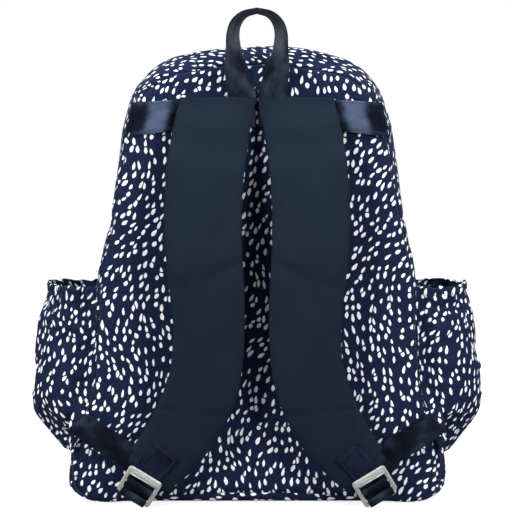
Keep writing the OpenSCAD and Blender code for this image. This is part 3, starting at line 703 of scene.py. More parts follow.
def stitches(shape, path, normals, pitch, length, radius):
    """Adds a row of thread stitches along a path, half sunk into the cloth."""
    path, normals = np.asarray(path, float), np.asarray(normals, float)
    along = np.concatenate([[0], np.cumsum(np.linalg.norm(np.diff(path, axis=0), axis=1))])
    count = max(int(along[-1] / pitch), 1)
    at = (np.arange(count) + 0.5) * along[-1] / count
    read = lambda values, places: np.stack([np.interp(places, along, values[:, k]) for k in range(3)], -1)
    start, end = read(path, at - length / 2), read(path, at + length / 2)
    middle_n = unit(read(normals, at))
    around = np.arange(6) / 6 * TAU
    swell = np.array([0.25, 1.0, 1.15, 1.0, 0.25])
    for a, b, n in zip(start, end, middle_n):
        side = unit(np.cross(b - a, n))
        ring = side * np.cos(around)[:, None] + n * np.sin(around)[:, None]
        lift = n * radius * 0.35
        rows = [mix(a, b, k / 4) + lift * (w - 0.25) + ring * radius * w for k, w in enumerate(swell)]
        shape.grid(np.array(rows), wrap=True, caps=True)


# ---- camera, lights and floor ----
scene = bpy.context.scene
CAMERA_AWAY = 2.0
CAMERA_ABOVE = math.radians(2.5)
VIEW_WIDE = 0.506
TARGET = np.array([-0.001, PANEL_Y, 0.246])


def look_from(obj, place, target):
    obj.location = place
    obj.rotation_euler = (Vector(target) - Vector(place)).to_track_quat("-Z", "Y").to_euler()
    scene.collection.objects.link(obj)
    return obj


camera_data = bpy.data.cameras.new("camera")
camera_data.sensor_width = 36
camera_data.lens = camera_data.sensor_width * CAMERA_AWAY / VIEW_WIDE
camera_place = TARGET + CAMERA_AWAY * np.array([0, -math.cos(CAMERA_ABOVE), math.sin(CAMERA_ABOVE)])
scene.camera = look_from(bpy.data.objects.new("camera", camera_data), camera_place, TARGET)


def area_light(name, place, size, power, target=(0, 0, 0.22)):
    data = bpy.data.lights.new(name, "AREA")
    data.size = size
    data.energy = power
    look_from(bpy.data.objects.new(name, data), place, target)


area_light("ceiling", (0, 0.4, 3.0), 3.2, 40, (0, 0.2, 0))
for label, hand in (("left", -1), ("right", 1)):
    area_light(f"key_{label}", (1.25 * hand, -1.6, 1.0), 0.4, 25)
    area_light(f"overhead_{label}", (0.95 * hand, -0.6, 2.0), 0.8, 30, (0, 0, 0.3))
    area_light(f"side_{label}", (1.8 * hand, -1.1, 0.9), 0.9, 9)
    area_light(f"rear_{label}", (1.3 * hand, 1.7, 1.1), 1.1, 16)
# The studio is white to look at, shows only faintly in reflections, and gives the cloth only a little light,
# so that folds and gaps keep their shade.
AMBIENT, MIRRORED = 0.025, 0.06
world = bpy.data.worlds.new("studio")
scene.world = world
world.use_nodes = True
sky = world.node_tree
ray = sky.nodes.new("ShaderNodeLightPath")
level = sky.nodes["Background"].inputs[1]
for output, strength in ((ray.outputs["Is Glossy Ray"], MIRRORED), (ray.outputs["Is Camera Ray"], 1.0)):
    share = sky.nodes.new("ShaderNodeMix")
    share.inputs[3].default_value = strength
    sky.links.new(output, share.inputs[0])
    if level.is_linked:
        sky.links.new(level.links[0].from_socket, share.inputs[2])
    else:
        share.inputs[2].default_value = AMBIENT
    sky.links.new(share.outputs[0], level)
sky.nodes["Background"].inputs[0].default_value = (1, 1, 1, 1)
scene.view_settings.view_transform = "Standard"

floor_ends = (-2.0, 2.0)
floor = Shape().grid(np.array([[(x, y, 0) for x in floor_ends] for y in floor_ends]))
pale = Material("floor", Specular_IOR_Level=0.1)
pale_grain = pale.noise(pale.coords("Object"), 40, 2)
# the camera sees the floor glow to pure white, and nothing else does
FLOOR_GLOW = 0.8
seen = pale.node("ShaderNodeLightPath").outputs["Is Camera Ray"]
pale.set(Emission_Color=(1, 1, 1, 1), Emission_Strength=pale.math("MULTIPLY", seen, FLOOR_GLOW),
         Base_Color=pale.mix(pale_grain, (0.30, 0.30, 0.30, 1), (0.32, 0.32, 0.32, 1)),
         Roughness=pale.ramp(pale_grain, 0, 1, 0.85, 0.9))
floor.build("floor", pale.data)


# ---- flat panels ----
# The spine that a flat panel closes in to, as shares of the bag's height.
SPINE_LOW, SPINE_HIGH = 0.24, 0.68


def panel_grid(ring, y_at, places=320, columns=34):
    """A grid from a closed outline in to a spine. ring gives x and z at its places, and y_at gives y from
    x, z and the distance to the edge."""
    s = np.linspace(0, RING, places + 1)
    x, z = ring(s)
    inwards = (np.linspace(0, 1, columns) ** 1.7)[None]
    spine = np.clip(z, SPINE_LOW * BODY_H, SPINE_HIGH * BODY_H)
    gx, gz = mix(x[:, None], 0, inwards), mix(z[:, None], spine[:, None], inwards)
    distance = np.hypot(x, z - spine)[:, None] * inwards
    return np.stack([gx, y_at(gx, gz, distance), gz], -1)


def seam_inset(z):
    return table(SEAM_INSET, z / SCALE_Z / MM) * MM


def back_outline(s):
    x, z = back_ring(s)
    nx, nz = ring_normal(s)
    inset = seam_inset(z)
    return x - nx * inset, z - nz * inset * (1 - on_base(s))


SEAM_RECESS = 4.2 * MM


def back_relief(x, z, d):
    """The padded back panel: nearly flat, rounded down into its seam, a little lumpy."""
    soft = crumple(11, x, z, 70 * MM) * 0.45 * MM * smooth(0, 30 * MM, d)
    pucker = lumps(14, x, z, 9 * MM) * 0.5 * MM * np.exp(-d / (9 * MM))
    return PANEL_Y + rolled(d, 9 * MM, SEAM_RECESS) + 0.5 * MM + soft + pucker


def flat_panel(name, points, node, seed, thickness=2 * MM, facing=-1, material=None):
    """A padded panel on a grid of points. facing is 1 towards the front and -1 towards the wearer."""
    uv = np.stack([points[..., 0] * -facing, points[..., 2]], -1)
    flip = grid_normals(points)[..., 1].sum() * facing < 0
    material = material or dabbed_print(PRINT_SHIFT * seed)
    obj = Shape().grid(points, uv, flip=flip).build(name, material, weld=True)
    thicken(obj, thickness)
    piece(obj, "bag", [node])
    return obj


def front_relief(x, z, d):
    return FRONT_FACE_Y - rolled(d, 9 * MM, 3 * MM) + lumps(21, x, z, 50 * MM) * 0.3 * MM


def sleeve_relief(x, z, d):
    domed = SLEEVE_Y - rolled(d, 14 * MM, 5 * MM) + 2.2 * MM * smooth(0, 70 * MM, d)
    return domed + crumple(31, x, z, 80 * MM) * 0.7 * MM * smooth(0, 25 * MM, d)


def back_seam():
    """Stitches round the sunk seam of the back panel, but for its base. They run nearly unbroken, so their
    dark line also paints the shade of the seam's crevice.
    """
    s = np.linspace(S_BASE - 0.5, RING - S_BASE + 0.5, 700)
    x, z = back_outline(s)
    path = np.stack([x, np.full_like(x, PANEL_Y + SEAM_RECESS + 0.2 * MM), z], -1)
    sewn = Shape()
    stitches(sewn, path, same(REAR, len(s)), 3.0 * MM, 2.9 * MM, 0.5 * MM)
    piece(sewn.build("back_seam_thread_and_shade_line", THREAD), "bag")


flat_panel("back_panel_cloth", panel_grid(back_outline, back_relief), "back_panel", 1)
back_seam()
flat_panel("front_panel_cloth",
           panel_grid(lambda s: flat_ring(s, FRONT_TAPER, FRONT_LOW, 1.5 * MM), front_relief),
           "front_panel", 2, facing=1)
flat_panel("racket_sleeve_cloth",
           panel_grid(lambda s: flat_ring(s, SLEEVE_TAPER, SLEEVE_LOW, 1.5 * MM, SLEEVE_RISE), sleeve_relief),
           "racket_sleeve_face", 3, facing=1)
foam_points = panel_grid(lambda s: [c - n * 9 * MM for c, n in zip(back_ring(s), ring_normal(s))],
                         lambda x, z, d: BACK_Y + GAP + rolled(d, 3 * MM, 2 * MM), places=160, columns=12)
flat_panel("back_foam_pad", foam_points, "back_foam", 4, thickness=6 * MM, material=FOAM)


# ---- gussets and base ----
# A distance, in metres, that stands for no seam on that side.
NO_SEAM = 1.0


def wall_grid(s0, s1, v0, v1, seed, rows, columns, rear_seam=False, front_seam=False, zip_edge=0, amount=1.0):
    """Cloth on the bag's wall: rounded into its seams, with soft lumps and puckers along them."""
    s = np.linspace(s0, s1, rows)[:, None] * np.ones(columns)
    share = np.linspace(0, 1, columns)
    v = mix(v0, v1, share)[None] * np.ones((rows, 1))
    _, z = back_ring(s)
    run = np.cumsum(np.r_[0, np.linalg.norm(np.diff(body_point(s[:, 0], 0.5), axis=0), axis=1)])[:, None]
    y = v * BODY_D
    off = crumple(seed, run, y, 55 * MM) * 1.0 * MM * amount
    from_rear = (v - v0) * BODY_D if rear_seam else np.full_like(v, NO_SEAM)
    from_front = (v1 - v) * BODY_D if front_seam else np.full_like(v, NO_SEAM)
    near = np.minimum(from_rear, from_front)
    off = off * smooth(0, 22 * MM, near)
    pucker = lumps(seed + 5, run, y, 10 * MM) * 0.9 * MM * np.exp(-near / (8 * MM))
    off += pucker * smooth(0, 3 * MM, near) * amount
    off += 1.2 * MM * smooth(0, 18 * MM, near)
    off += CROWN_PUFF * np.sin(math.pi * np.clip(v / 0.62, 0, 1)) * smooth(385 * MM, 428 * MM, z)
    corner = np.exp(-((z - 21 * MM) / (19 * MM)) ** 2) * smooth(2.8, 3.6, np.minimum(np.abs(s), RING - s))
    off += CORNER_PUFF * corner * np.sin(math.pi * np.clip(v, 0, 1)) ** 0.35
    if rear_seam:
        radius = mix(6 * MM, 13 * MM, smooth(8 * MM, 50 * MM, z))
        off -= rolled(from_rear, radius, 1) * seam_inset(z) * (1 - on_base(s))
    if front_seam:
        off -= rolled(from_front, 10 * MM, 2.5 * MM)
    if zip_edge:
        from_zip = np.abs(v - (v1 if zip_edge > 0 else v0)) * BODY_D
        off -= rolled(from_zip, 4 * MM, 1.4 * MM)
    points = body_point(s, v, off)
    if rear_seam:
        recess = SEAM_RECESS - (BACK_Y - PANEL_Y)
        roll = 1.6 * MM * np.exp(-((from_rear - 6 * MM) / (6 * MM)) ** 2)
        points[..., 1] += rolled(from_rear, 6 * MM, 1) * recess - roll
    points[..., 2] = np.maximum(points[..., 2], FLOOR_CLEAR)
    return points


ZIP_EDGE = (ZIP_HALF + GAP) / BODY_D
WALL_RELAX = {"pressure": 2.0, "spare": 0.02, "cap": 2.5 * MM}
cloth("gusset_rear_cloth",
      wall_grid(S_ZIP, RING - S_ZIP, 0, ZIP_V - ZIP_EDGE, 41, 330, 30, rear_seam=True, zip_edge=1),
      ["gusset_rear_strip"], 5, dabs=0.87, relax=WALL_RELAX)
cloth("gusset_front_cloth",
      wall_grid(S_ZIP, RING - S_ZIP, ZIP_V + ZIP_EDGE, 1, 51, 330, 24, front_seam=True, zip_edge=-1),
      ["gusset_front_strip"], 6, relax=WALL_RELAX)
for side, s_low, s_high, relief, seed in (("right", S_BASE - 0.6, S_ZIP, 61, 7),
                                          ("left", RING - S_ZIP, RING - S_BASE + 0.6, 71, 8)):
    cloth(f"side_gusset_cloth_{side}",
          wall_grid(s_low, s_high, 0, 1, relief, 130, 56, rear_seam=True, front_seam=True),
          [f"side_gusset_{side}"], seed, relax=WALL_RELAX)
base = wall_grid(-S_BASE + 0.4, S_BASE - 0.4, 0, 1, 81, 120, 60, rear_seam=True, front_seam=True, amount=0.2)
cloth("bottom_cloth", base + np.array([0, 0, 1.2 * MM]), ["bottom_panel"], 9,
      thickness=1 * MM)


# ---- side pockets: a bellied sheet gathered into an elastic hem ----
POCKET_V0, POCKET_V1 = 0.012, 0.92
HEM_H = 9 * MM
MOUTH_SINK = 10 * MM
POCKET_FROM = 4.45
POCKET_RELAX = {"pressure": 4.0, "spare": 0.05, "cap": 5 * MM, "hem": 9}


def pocket_points(s, share):
    """Points of the right-hand pocket: ring place s going up, share from the rear seam to the front one."""
    s, share = np.broadcast_arrays(s, share)
    _, height = back_ring(s)
    rear = mix(0.17, POCKET_V0, smooth(58 * MM, 92 * MM, height))
    wall = body_point(s, mix(rear, POCKET_V1, share), GAP + 1.0 * MM)
    sunk = MOUTH_SINK * np.clip((wall[..., 2] - 160 * MM) / (60 * MM), 0, 1)
    z = wall[..., 2] - sunk
    middle = body_point(s, 0.5, GAP)[..., 0]
    reach = np.maximum(table(POCKET_REACH, z / MM) * MM - middle, 0) * smooth(0, 0.5, s - POCKET_FROM + 0.1)
    belly = np.sin(math.pi * share) ** 0.6
    sag = 0.6 * sunk * (1 - smooth(0.1, 0.55, share))
    return np.stack([wall[..., 0] + 0.1 * sunk + reach * belly, wall[..., 1], z - sag], -1)


def gathers(seed, run, below, strength):
    """Small folds hanging from the gathered mouth, fading with the distance below it."""
    fine = lumps(seed, run, below * 0.12, 6.5 * MM) * np.exp(-below / (20 * MM))
    broad = lumps(seed + 1, run, below * 0.3, 15 * MM) * np.exp(-below / (55 * MM))
    return strength * (1.5 * MM * fine + 2.3 * MM * broad)


def crease(at, run, width, depth):
    return -depth * np.exp(-((run - at) / width) ** 2)


def side_pocket(side, seed, pleat, strength):
    """pleat is how far from the rear seam the deep fold starts, and how far it drifts as it goes down."""
    rows, columns = 90, 130
    s = np.linspace(POCKET_FROM, S_SLEEVE_ZIP, rows)[:, None]
    even = np.linspace(0, 1, columns)[None]
    share = (0.5 - 0.5 * np.cos(even * math.pi)) * 0.7 + even * 0.3
    points = pocket_points(s, share)
    uv = surface_uv(points)
    run = uv[..., 0] - uv[:, :1, 0]
    ring_x, ring_z = back_ring(s)
    seam_y = np.full_like(ring_x, PANEL_Y + SEAM_RECESS - 0.8 * MM)
    seam = np.stack([ring_x - seam_inset(ring_z), seam_y, points[:, :1, 2]], -1)
    tucked = (1 - smooth(0, 7 * MM, run)) * smooth(84 * MM, 100 * MM, ring_z)
    points = mix(points, seam, tucked[..., None])
    # a valley beside the seam, and a belly pushed towards the wearer beyond it
    full = smooth(75 * MM, 120 * MM, ring_z)
    valley = 7 * MM * np.exp(-((run - 5 * MM) / (5 * MM)) ** 2)
    pushed = 5 * MM * smooth(8 * MM, 26 * MM, run) * (1 - smooth(36 * MM, 75 * MM, run))
    points[..., 1] += full * (valley - pushed)
    below = points[-1:, :, 2] - points[..., 2]
    held = smooth(0, 14 * MM, run) * smooth(0, 14 * MM, run[:, -1:] - run)
    held = held * smooth(0, 20 * MM, points[..., 2] - points[:1, :, 2])
    off = gathers(seed, run, below, strength) + crumple(seed + 3, run, points[..., 2], 46 * MM) * 2.0 * MM
    start, drift = pleat
    for beside, depth in ((0, 5.5 * MM), (9 * MM, -2.5 * MM)):
        off += crease(start + beside + drift * below, run, 5 * MM, depth) * np.exp(-below / (34 * MM))
    off += lumps(seed + 8, points[..., 2], run, 11 * MM) * 1.0 * MM * np.exp(-run / (9 * MM))
    normals = outward(points, grid_normals(points), (0.12, 0, 0.14))
    shaped = points + normals * (off * held)[..., None]
    # the cloth runs on up over the elastic, ruffled, and turns in at the top
    rim, rim_normal, rim_run, rim_held = shaped[-1:], normals[-1:], run[-1:], held[-1:]
    k = np.linspace(0, 1, 9)[1:, None]
    ruffle = lumps(seed + 9, rim_run, k * 2 * MM, 4.6 * MM) * strength * rim_held
    waves = 0.16 * lumps(seed + 10, rim_run, 0 * rim_run, 5.2 * MM) * rim_held
    lift = HEM_H * np.sin(k * math.pi / 2) * (1 + waves)
    bulge = (1.0 * MM * np.sin(math.pi * k) - 1.6 * MM * k**3) * rim_held + 1.1 * MM * ruffle
    over = rim + rim_normal * bulge[..., None] + np.array([0, 0, 1]) * lift[..., None]
    whole = np.concatenate([shaped, over])
    flat = np.concatenate([points, points[-1:] + np.array([0, 0, HEM_H]) * k[..., None]])
    uv = surface_uv(flat)
    inner_k = np.linspace(1, 0.1, 8)[:, None]
    inner = rim - rim_normal * (2.4 * MM * (1.25 - inner_k))[..., None] * rim_held[..., None]
    inner = inner + np.array([0, 0, 1]) * (HEM_H * inner_k * np.ones_like(rim_run))[..., None]
    inner[0] = over[-1]
    seam_line = rim + rim_normal * 0.35 * MM + np.array([0, 0, 0.4 * MM])
    band = rim - rim_normal * 0.9 * MM * rim_held[..., None] + np.array([0, 0, HEM_H / 2])
    if side == "left":
        whole, inner, seam_line, rim_normal, band = (
            mirrored(grid) for grid in (whole, inner, seam_line, rim_normal, band))
    band = band[0][8:-8]
    rings = ribbon(band, same(UP, len(band)), 6 * MM, 0.5 * MM)
    ELASTICS.grid(rings, wrap=True, caps=True, flip=side == "right")
    centre = (0.12 if side == "right" else -0.12, 0, 0.14)
    body = cloth(f"side_pocket_cloth_{side}", whole, [f"side_pocket_{side}"],
                 seed, 1.0 * MM, centre, uv, POCKET_RELAX)
    hem = Shape().grid(inner, flip=side == "right").build(f"pocket_hem_cloth_{side}", body.data.materials[0])
    thicken(hem, 0.8 * MM)
    piece(hem, "bag", [f"pocket_hem_{side}"])
    size, area = cut_size(surface_uv(inner))
    sewn = Shape()
    stitches(sewn, seam_line[0][2:-2], rim_normal[0][2:-2], 3.0 * MM, 2.1 * MM, 0.24 * MM)
    piece(sewn.build(f"pocket_hem_thread_{side}", THREAD), "bag")


ELASTICS = Shape()
side_pocket("left", 101, (17 * MM, -0.12), 1.0)
side_pocket("right", 131, (22 * MM, -0.05), 1.5)
piece(ELASTICS.build("hem_elastic_bands", ELASTIC), "bag", ["hem_elastics"])


# ---- shoulder straps: foam in a folded twill cover, lined with air mesh ----
STRAP_END = len(STRAP_LINE) - 1
# Two heights on the panel, sent with the grab handle's pair of bodies.
HANDLE_BLEND = (0.398, 0.412)


def strap_points(t, across, depth, lengthen=0.0, narrow=1.0):
    """Points of the left strap: place t along it, across from 1 outside to -1 inside, and depth out from its
    rear face."""
    t, across, depth = np.broadcast_arrays(np.asarray(t, float), across, depth)
    p = open_curve(STRAP_LINE, t) * MM
    slope = unit(open_curve(STRAP_LINE, t + 0.01)[..., :2] - open_curve(STRAP_LINE, t - 0.01)[..., :2])
    along = unit(mix(np.array([0, -1.0]), slope, np.clip(t / 1.3, 0, 1)[..., None]))
    half = p[..., 3] * narrow
    x = p[..., 0] + along[..., 1] * half * across + along[..., 0] * lengthen
    z = p[..., 1] - along[..., 0] * half * across + along[..., 1] * lengthen
    return np.stack([x, PANEL_Y - p[..., 2] - depth, z], -1)


def at_side(points, side):
    return points if side == "left" else mirrored(points)


def strap_stations():
    """Places along the strap, then its rounded end: how far that runs on and how much narrower and thinner
    it gets."""
    t = np.linspace(0, STRAP_END, 230)
    turn = np.linspace(0, 1, 14)[1:] * math.pi / 2
    places = np.r_[t, np.full(len(turn), STRAP_END)]
    longer = np.r_[np.zeros(len(t)), 8 * MM * np.sin(turn)]
    narrow = np.r_[np.ones(len(t)), 1 - 0.42 * (1 - np.cos(turn)) ** 1.4]
    thin = np.r_[np.ones(len(t)), np.cos(turn * 0.93) ** 0.5]
    return places[:, None], longer[:, None], narrow[:, None], thin[:, None]


def strap_thickness(t):
    """Flat where the top is folded under and sewn down, then the full foam."""
    return STRAP_T * MM * mix(0.36, 1, smooth(0, 0.9, t))


def shoulder_strap(side, seed):
    t, longer, narrow, thin = strap_stations()
    across, up = box_section(72, 0.32, 0.6)
    thick = strap_thickness(t) * thin
    # the strap is about 72 mm wide, and its stations are about as far apart as its half width
    run = t * 36 * MM
    width_run = across * 36 * MM
    crown = 1 - 0.09 * across**2 - 0.10 * np.abs(across) ** 8
    face = up > 0
    depth = thick / 2 + thick / 2 * np.where(face, up * (2 * crown - 1), up)
    soft = crumple(seed, width_run, run, 42 * MM) * 0.32 * MM
    soft = soft + lumps(seed + 4, width_run * 0.3, run, 16 * MM) * 0.16 * MM
    bend = 1.7 * MM * np.exp(-((t - 4.35 - 0.25 * across) / 0.12) ** 2)
    bend = bend + 1.4 * MM * np.exp(-((t - 8.2 - 0.4 * across) / 0.14) ** 2)
    pucker = lumps(seed + 6, run, np.sign(across) * 0.05, 7 * MM) * 0.45 * MM * np.abs(across) ** 14
    depth = depth + np.where(face, (soft - bend * 0.6) * np.abs(up) * smooth(0, 0.5, t), 0) * thin
    points = strap_points(t, across * (1 + pucker / (36 * MM)), depth, longer, narrow)
    points = at_side(points, side)
    whole = Shape().grid(points, wrap=True, caps=True, flip=side == "right")
    obj = whole.build(f"shoulder_strap_{side}", TWILL)
    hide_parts(f"strap_root_{side}", f"strap_face_{side}", f"strap_foam_{side}")
    t_back = np.linspace(0.15, STRAP_END - 0.1, 120)[:, None]
    inner = strap_points(t_back, np.linspace(-0.86, 0.86, 16)[None], 0.1 * MM)
    inner = at_side(inner, side)
    back = Shape().grid(inner, flip=side == "left").build(f"strap_mesh_lining_{side}", MESH)
    thicken(back, 0.6 * MM)
    back.modifiers["thickness"].offset = 0
    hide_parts(f"strap_lining_{side}")
    size, area = cut_size(surface_uv(inner))
    sewn = Shape()
    edge_t = np.linspace(0.25, STRAP_END, 260)
    for edge in (-0.86, 0.86):
        path = at_side(strap_points(edge_t, edge * 1.06, 0.25 * MM), side)
        stitches(sewn, path, same(FRONT, len(path)), 3.6 * MM, 2.6 * MM, 0.25 * MM)
    thread_obj = sewn.build(f"strap_thread_{side}", THREAD)
    for part in (obj, back, thread_obj):
        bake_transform(part)


shoulder_strap("left", 151)
shoulder_strap("right", 171)


# ---- webbing sewn flat on the panel ----
def web_piece(name, rings, body, nodes, material=WEBBING, flip=False):
    """A length of webbing, riding on a body, or, if body is a pair with two places, baked in place and riding
    on neither.
    """
    uv = surface_uv(rings, wrap=True)
    obj = Shape().grid(rings, uv, wrap=True, caps=True, flip=flip).build(name, material)
    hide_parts(*nodes)
    if isinstance(body, tuple):
        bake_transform(obj)
    else:
        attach(obj, body)
    return obj


def resample(values, count):
    return open_curve(values, np.linspace(0, len(values) - 1, count))


# Across, up and half width of the left band.
BAND_LINE = [
    (-70, 385.2, 15.6), (-84, 384.2, 15.9), (-100, 382.8, 16.4), (-113, 381.6, 17), (-121, 380.7, 17.4),
    (-127, 380, 17.7)]


def strap_band(side, seed):
    """Wide webbing from under the strap's top to the side seam, sewn near its long edges."""
    x, z, half = resample(np.array(BAND_LINE) * MM, 44).T
    wave = lumps(seed, z * 0, x, 13 * MM) * 1.1 * MM
    tuck = smooth(0, 11 * MM, -116 * MM - x)
    y = PANEL_Y - GAP - WEB_T / 2 - 0.9 * MM - wave + tuck * 6.5 * MM
    path = at_side(np.stack([x, y, z], -1), side)
    across = at_side(same((0.19, 0, 0.98), len(x)), side)
    rings = ribbon(path, across, 2 * half, WEB_T, 30)
    web_piece(f"strap_band_web_{side}", rings, "bag", [f"strap_band_{side}"], BAND_WEBBING, side == "right")
    sewn = Shape()
    for edge in (-0.86, -0.76, 0.88):
        rim = path + unit(across) * (half * edge)[:, None] + np.array([0, -WEB_T / 2 - 0.1 * MM, 0])
        stitches(sewn, rim, same(REAR, len(rim)), 3.0 * MM, 2.2 * MM, 0.26 * MM)
    piece(sewn.build(f"strap_band_thread_{side}", THREAD), "bag")


strap_band("left", 181)
strap_band("right", 186)


# ---- grab handle ----
# Across, up, stand-off, then the direction of the width: across, back, up.
HANDLE_LINE = [
    (-15, 396, 0, 1, 0, 0), (-15.2, 406, 0.6, 1, 0.05, 0), (-17, 416, 3.2, 0.95, 0.3, 0),
    (-20, 430, 8.2, 0.82, 0.57, 0.02), (-22.5, 447, 9.5, 0.55, 0.83, 0), (-23.5, 463, 7, 0.43, 0.9, -0.05),
    (-20.5, 475, 5.5, 0.33, 0.93, -0.1),
    (-12.5, 483.4, 4.4, 0.18, 0.97, -0.12), (0, 486.9, 4, 0, 1, -0.12)]


def grab_handle():
    half = resample(HANDLE_LINE, 70)
    full = np.concatenate([half, (half * np.array([-1, 1, 1, -1, 1, 1]))[-2::-1]])
    path = np.stack([full[:, 0], PANEL_Y / MM - 1.05 - 0.5 - full[:, 2], full[:, 1]], -1) * MM
    rings = ribbon(path, full[:, 3:], WEB_W + 1.2 * MM, WEB_T * 1.25, 26, 0.35 * MM)
    low, high = HANDLE_BLEND
    web_piece("grab_handle_web", rings, ("bag", "grab_handle", (0, PANEL_Y, low), (0, PANEL_Y, high)),
              ["grab_handle"])
    tails = Shape()
    for x in (-15 * MM, 15 * MM):
        z = np.linspace(0.373, 0.3985, 10)
        path = np.stack([np.full_like(z, x), np.full_like(z, PANEL_Y - GAP - WEB_T / 2), z], -1)
        tails.grid(ribbon(path, same(RIGHT, len(z)), WEB_W, WEB_T), wrap=True, caps=True)
    piece(tails.build("handle_tails_web", WEBBING), "bag", ["handle_tails"])


grab_handle()


# ---- lower webbing: tab, adjuster, anchor flap ----
def tab_path():
    """The buckle tab's middle line, down the strap's face and past its end, and its width's direction."""
    beyond = 9 * MM
    t = np.r_[np.linspace(9.9, STRAP_END, 40), np.full(8, STRAP_END)]
    longer = np.r_[np.zeros(40), np.linspace(0, beyond, 9)[1:]]
    path = strap_points(t, 0, STRAP_T * MM + WEB_T * 0.9, longer)
    return path, strap_points(t, 1, 0) - strap_points(t, -1, 0)


def lower_webbing(side):
    path, across = tab_path()
    path, across = at_side(path, side), at_side(across, side)
    rings = ribbon(path, across, WEB_W + 1 * MM, WEB_T * 1.3, 26, 0.25 * MM)
    body = f"strap_{side}"
    web_piece(f"buckle_tab_web_{side}", rings, body, [f"buckle_tab_{side}"], TAB_WEBBING, side == "left")
    sewn = Shape()
    wide = unit(across)
    out = np.array([0, -WEB_T * 0.75, 0])
    inset = WEB_W / 2 - 2.2 * MM
    first, last = 2, 33
    rims = [path[first:last + 1] + wide[first:last + 1] * inset * edge + out for edge in (-1, 1)]
    for at in (first, last):
        ends = path[at] - wide[at] * inset, path[at] + wide[at] * inset
        rims.append(np.array([mix(*ends, k) + out for k in np.linspace(0, 1, 12)]))
    for rim in rims:
        stitches(sewn, rim, same(REAR, len(rim)), 2.6 * MM, 2.0 * MM, 0.26 * MM)
    piece(sewn.build(f"buckle_tab_thread_{side}", THREAD), body)


# Across, back, up, then the direction of the width: across, up.
ADJUSTER_LINE = [
    (-168, 2.2, 75.5, 0.775, 0.63), (-174, 2.6, 79.6, 0.775, 0.63), (-177.2, 4.6, 81.6, 0.775, 0.63),
    (-174.5, 7.0, 79.6, 0.775, 0.63), (-167, 7.2, 75, 0.73, 0.68), (-158, 6.9, 69, 0.64, 0.76),
    (-146, 7.4, 61.5, 0.52, 0.85), (-131.5, 8, 51.4, 0.42, 0.91), (-121, 8.2, 42, 0.6, 0.8),
    (-114.5, 9, 33.5, 0.86, 0.5), (-115.5, 13, 25.5, 0.86, -0.3), (-119, 19, 18, 0.86, -0.48),
    (-120.6, 23.6, 13, 0.86, -0.52)]


def adjuster(side, seed, bow):
    """The lower webbing from the anchor flap to the buckle. bow is how far it stands out between them."""
    line = resample(ADJUSTER_LINE, 90)
    path = np.stack([line[:, 0], PANEL_Y / MM - line[:, 1], line[:, 2]], -1) * MM
    bowed = bow * np.exp(-((path[:, 0] + 152 * MM) / (14 * MM)) ** 2)
    path[:, 1] -= bowed + lumps(seed, path[:, 0], path[:, 2], 12 * MM) * 1.0 * MM
    across = np.stack([line[:, 3], 0 * line[:, 3], line[:, 4]], -1)
    rings = ribbon(at_side(path, side), at_side(across, side), WEB_W - 1 * MM, WEB_T * 1.1, 26, bow * 0.25)
    web_piece(f"adjuster_web_{side}", rings, f"strap_{side}", [f"adjuster_webbing_{side}"], LOWER_WEBBING,
              side == "left")


def anchor_wing(side, seed):
    """A folded flap of the bag's cloth, sewn into the side seam, that holds the webbing's end."""
    corners = np.array([[[-185, 52], [-176, 64]], [[-187, 74], [-166, 82]], [[-183, 98], [-165, 90]]]) * MM
    rows = resample(corners.reshape(3, 4), 24).reshape(24, 2, 2)
    share = np.linspace(0, 1, 16)[None, :, None]
    flat = mix(rows[:, :1], rows[:, 1:], share)
    puff = 1.1 * MM * np.sin(math.pi * share[..., 0])
    puff = puff + crumple(seed, flat[..., 0], flat[..., 1], 14 * MM) * 0.4 * MM
    points = np.stack([flat[..., 0], PANEL_Y - GAP - 1.2 * MM - puff + 0 * flat[..., 0], flat[..., 1]], -1)
    cloth(f"anchor_wing_cloth_{side}", at_side(points, side), [f"anchor_wing_{side}"],
          seed, 0.9 * MM)


for side, seed, bow in (("left", 201, 2.5 * MM), ("right", 211, 5 * MM)):
    lower_webbing(side)
    adjuster(side, seed + 3, bow)
    anchor_wing(side, seed + 5)


# ---- ladder buckles ----
BUCKLE_DOWN = unit([-0.52, 0, -0.854])
BUCKLE_ACROSS = np.array([-BUCKLE_DOWN[2], 0, BUCKLE_DOWN[0]])
BUCKLE_OUT = np.array([0, -1.0, 0])
BUCKLE_TOP = np.array([-107.9, 0, 33.5]) * MM
BUCKLE_TOP[1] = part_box("buckle_left")[1][1]
BUCKLE_W, BUCKLE_H, BUCKLE_T = 37 * MM, 28 * MM, 3 * MM
BAR_TOP, BAR_SIDE, BAR_LOW = 8 * MM, 4.2 * MM, 3.6 * MM
MID_BAR_AT, MID_BAR_R = 15.5 * MM, 1.5 * MM


def buckle_space(points, side):
    """Points given as (across, down, out) of the left buckle, placed in the frame."""
    points = np.asarray(points, float)
    placed = BUCKLE_TOP + points[..., :1] * BUCKLE_ACROSS + points[..., 1:2] * BUCKLE_DOWN
    return at_side(placed + points[..., 2:] * BUCKLE_OUT, side)


def rounded_rect(x0, x1, y0, y1, radius, count=36):
    """Points round a rectangle with rounded corners, the same number on each corner and side."""
    points = []
    low_x, high_x, low_y, high_y = x0 + radius, x1 - radius, y0 + radius, y1 - radius
    corners = ((high_x, high_y), (low_x, high_y), (low_x, low_y), (high_x, low_y))
    for start, (cx, cy) in enumerate(corners):
        for k in range(count):
            a = (start + k / (count - 1)) * math.pi / 2
            points.append((cx + radius * math.cos(a), cy + radius * math.sin(a)))
    return np.array(points)


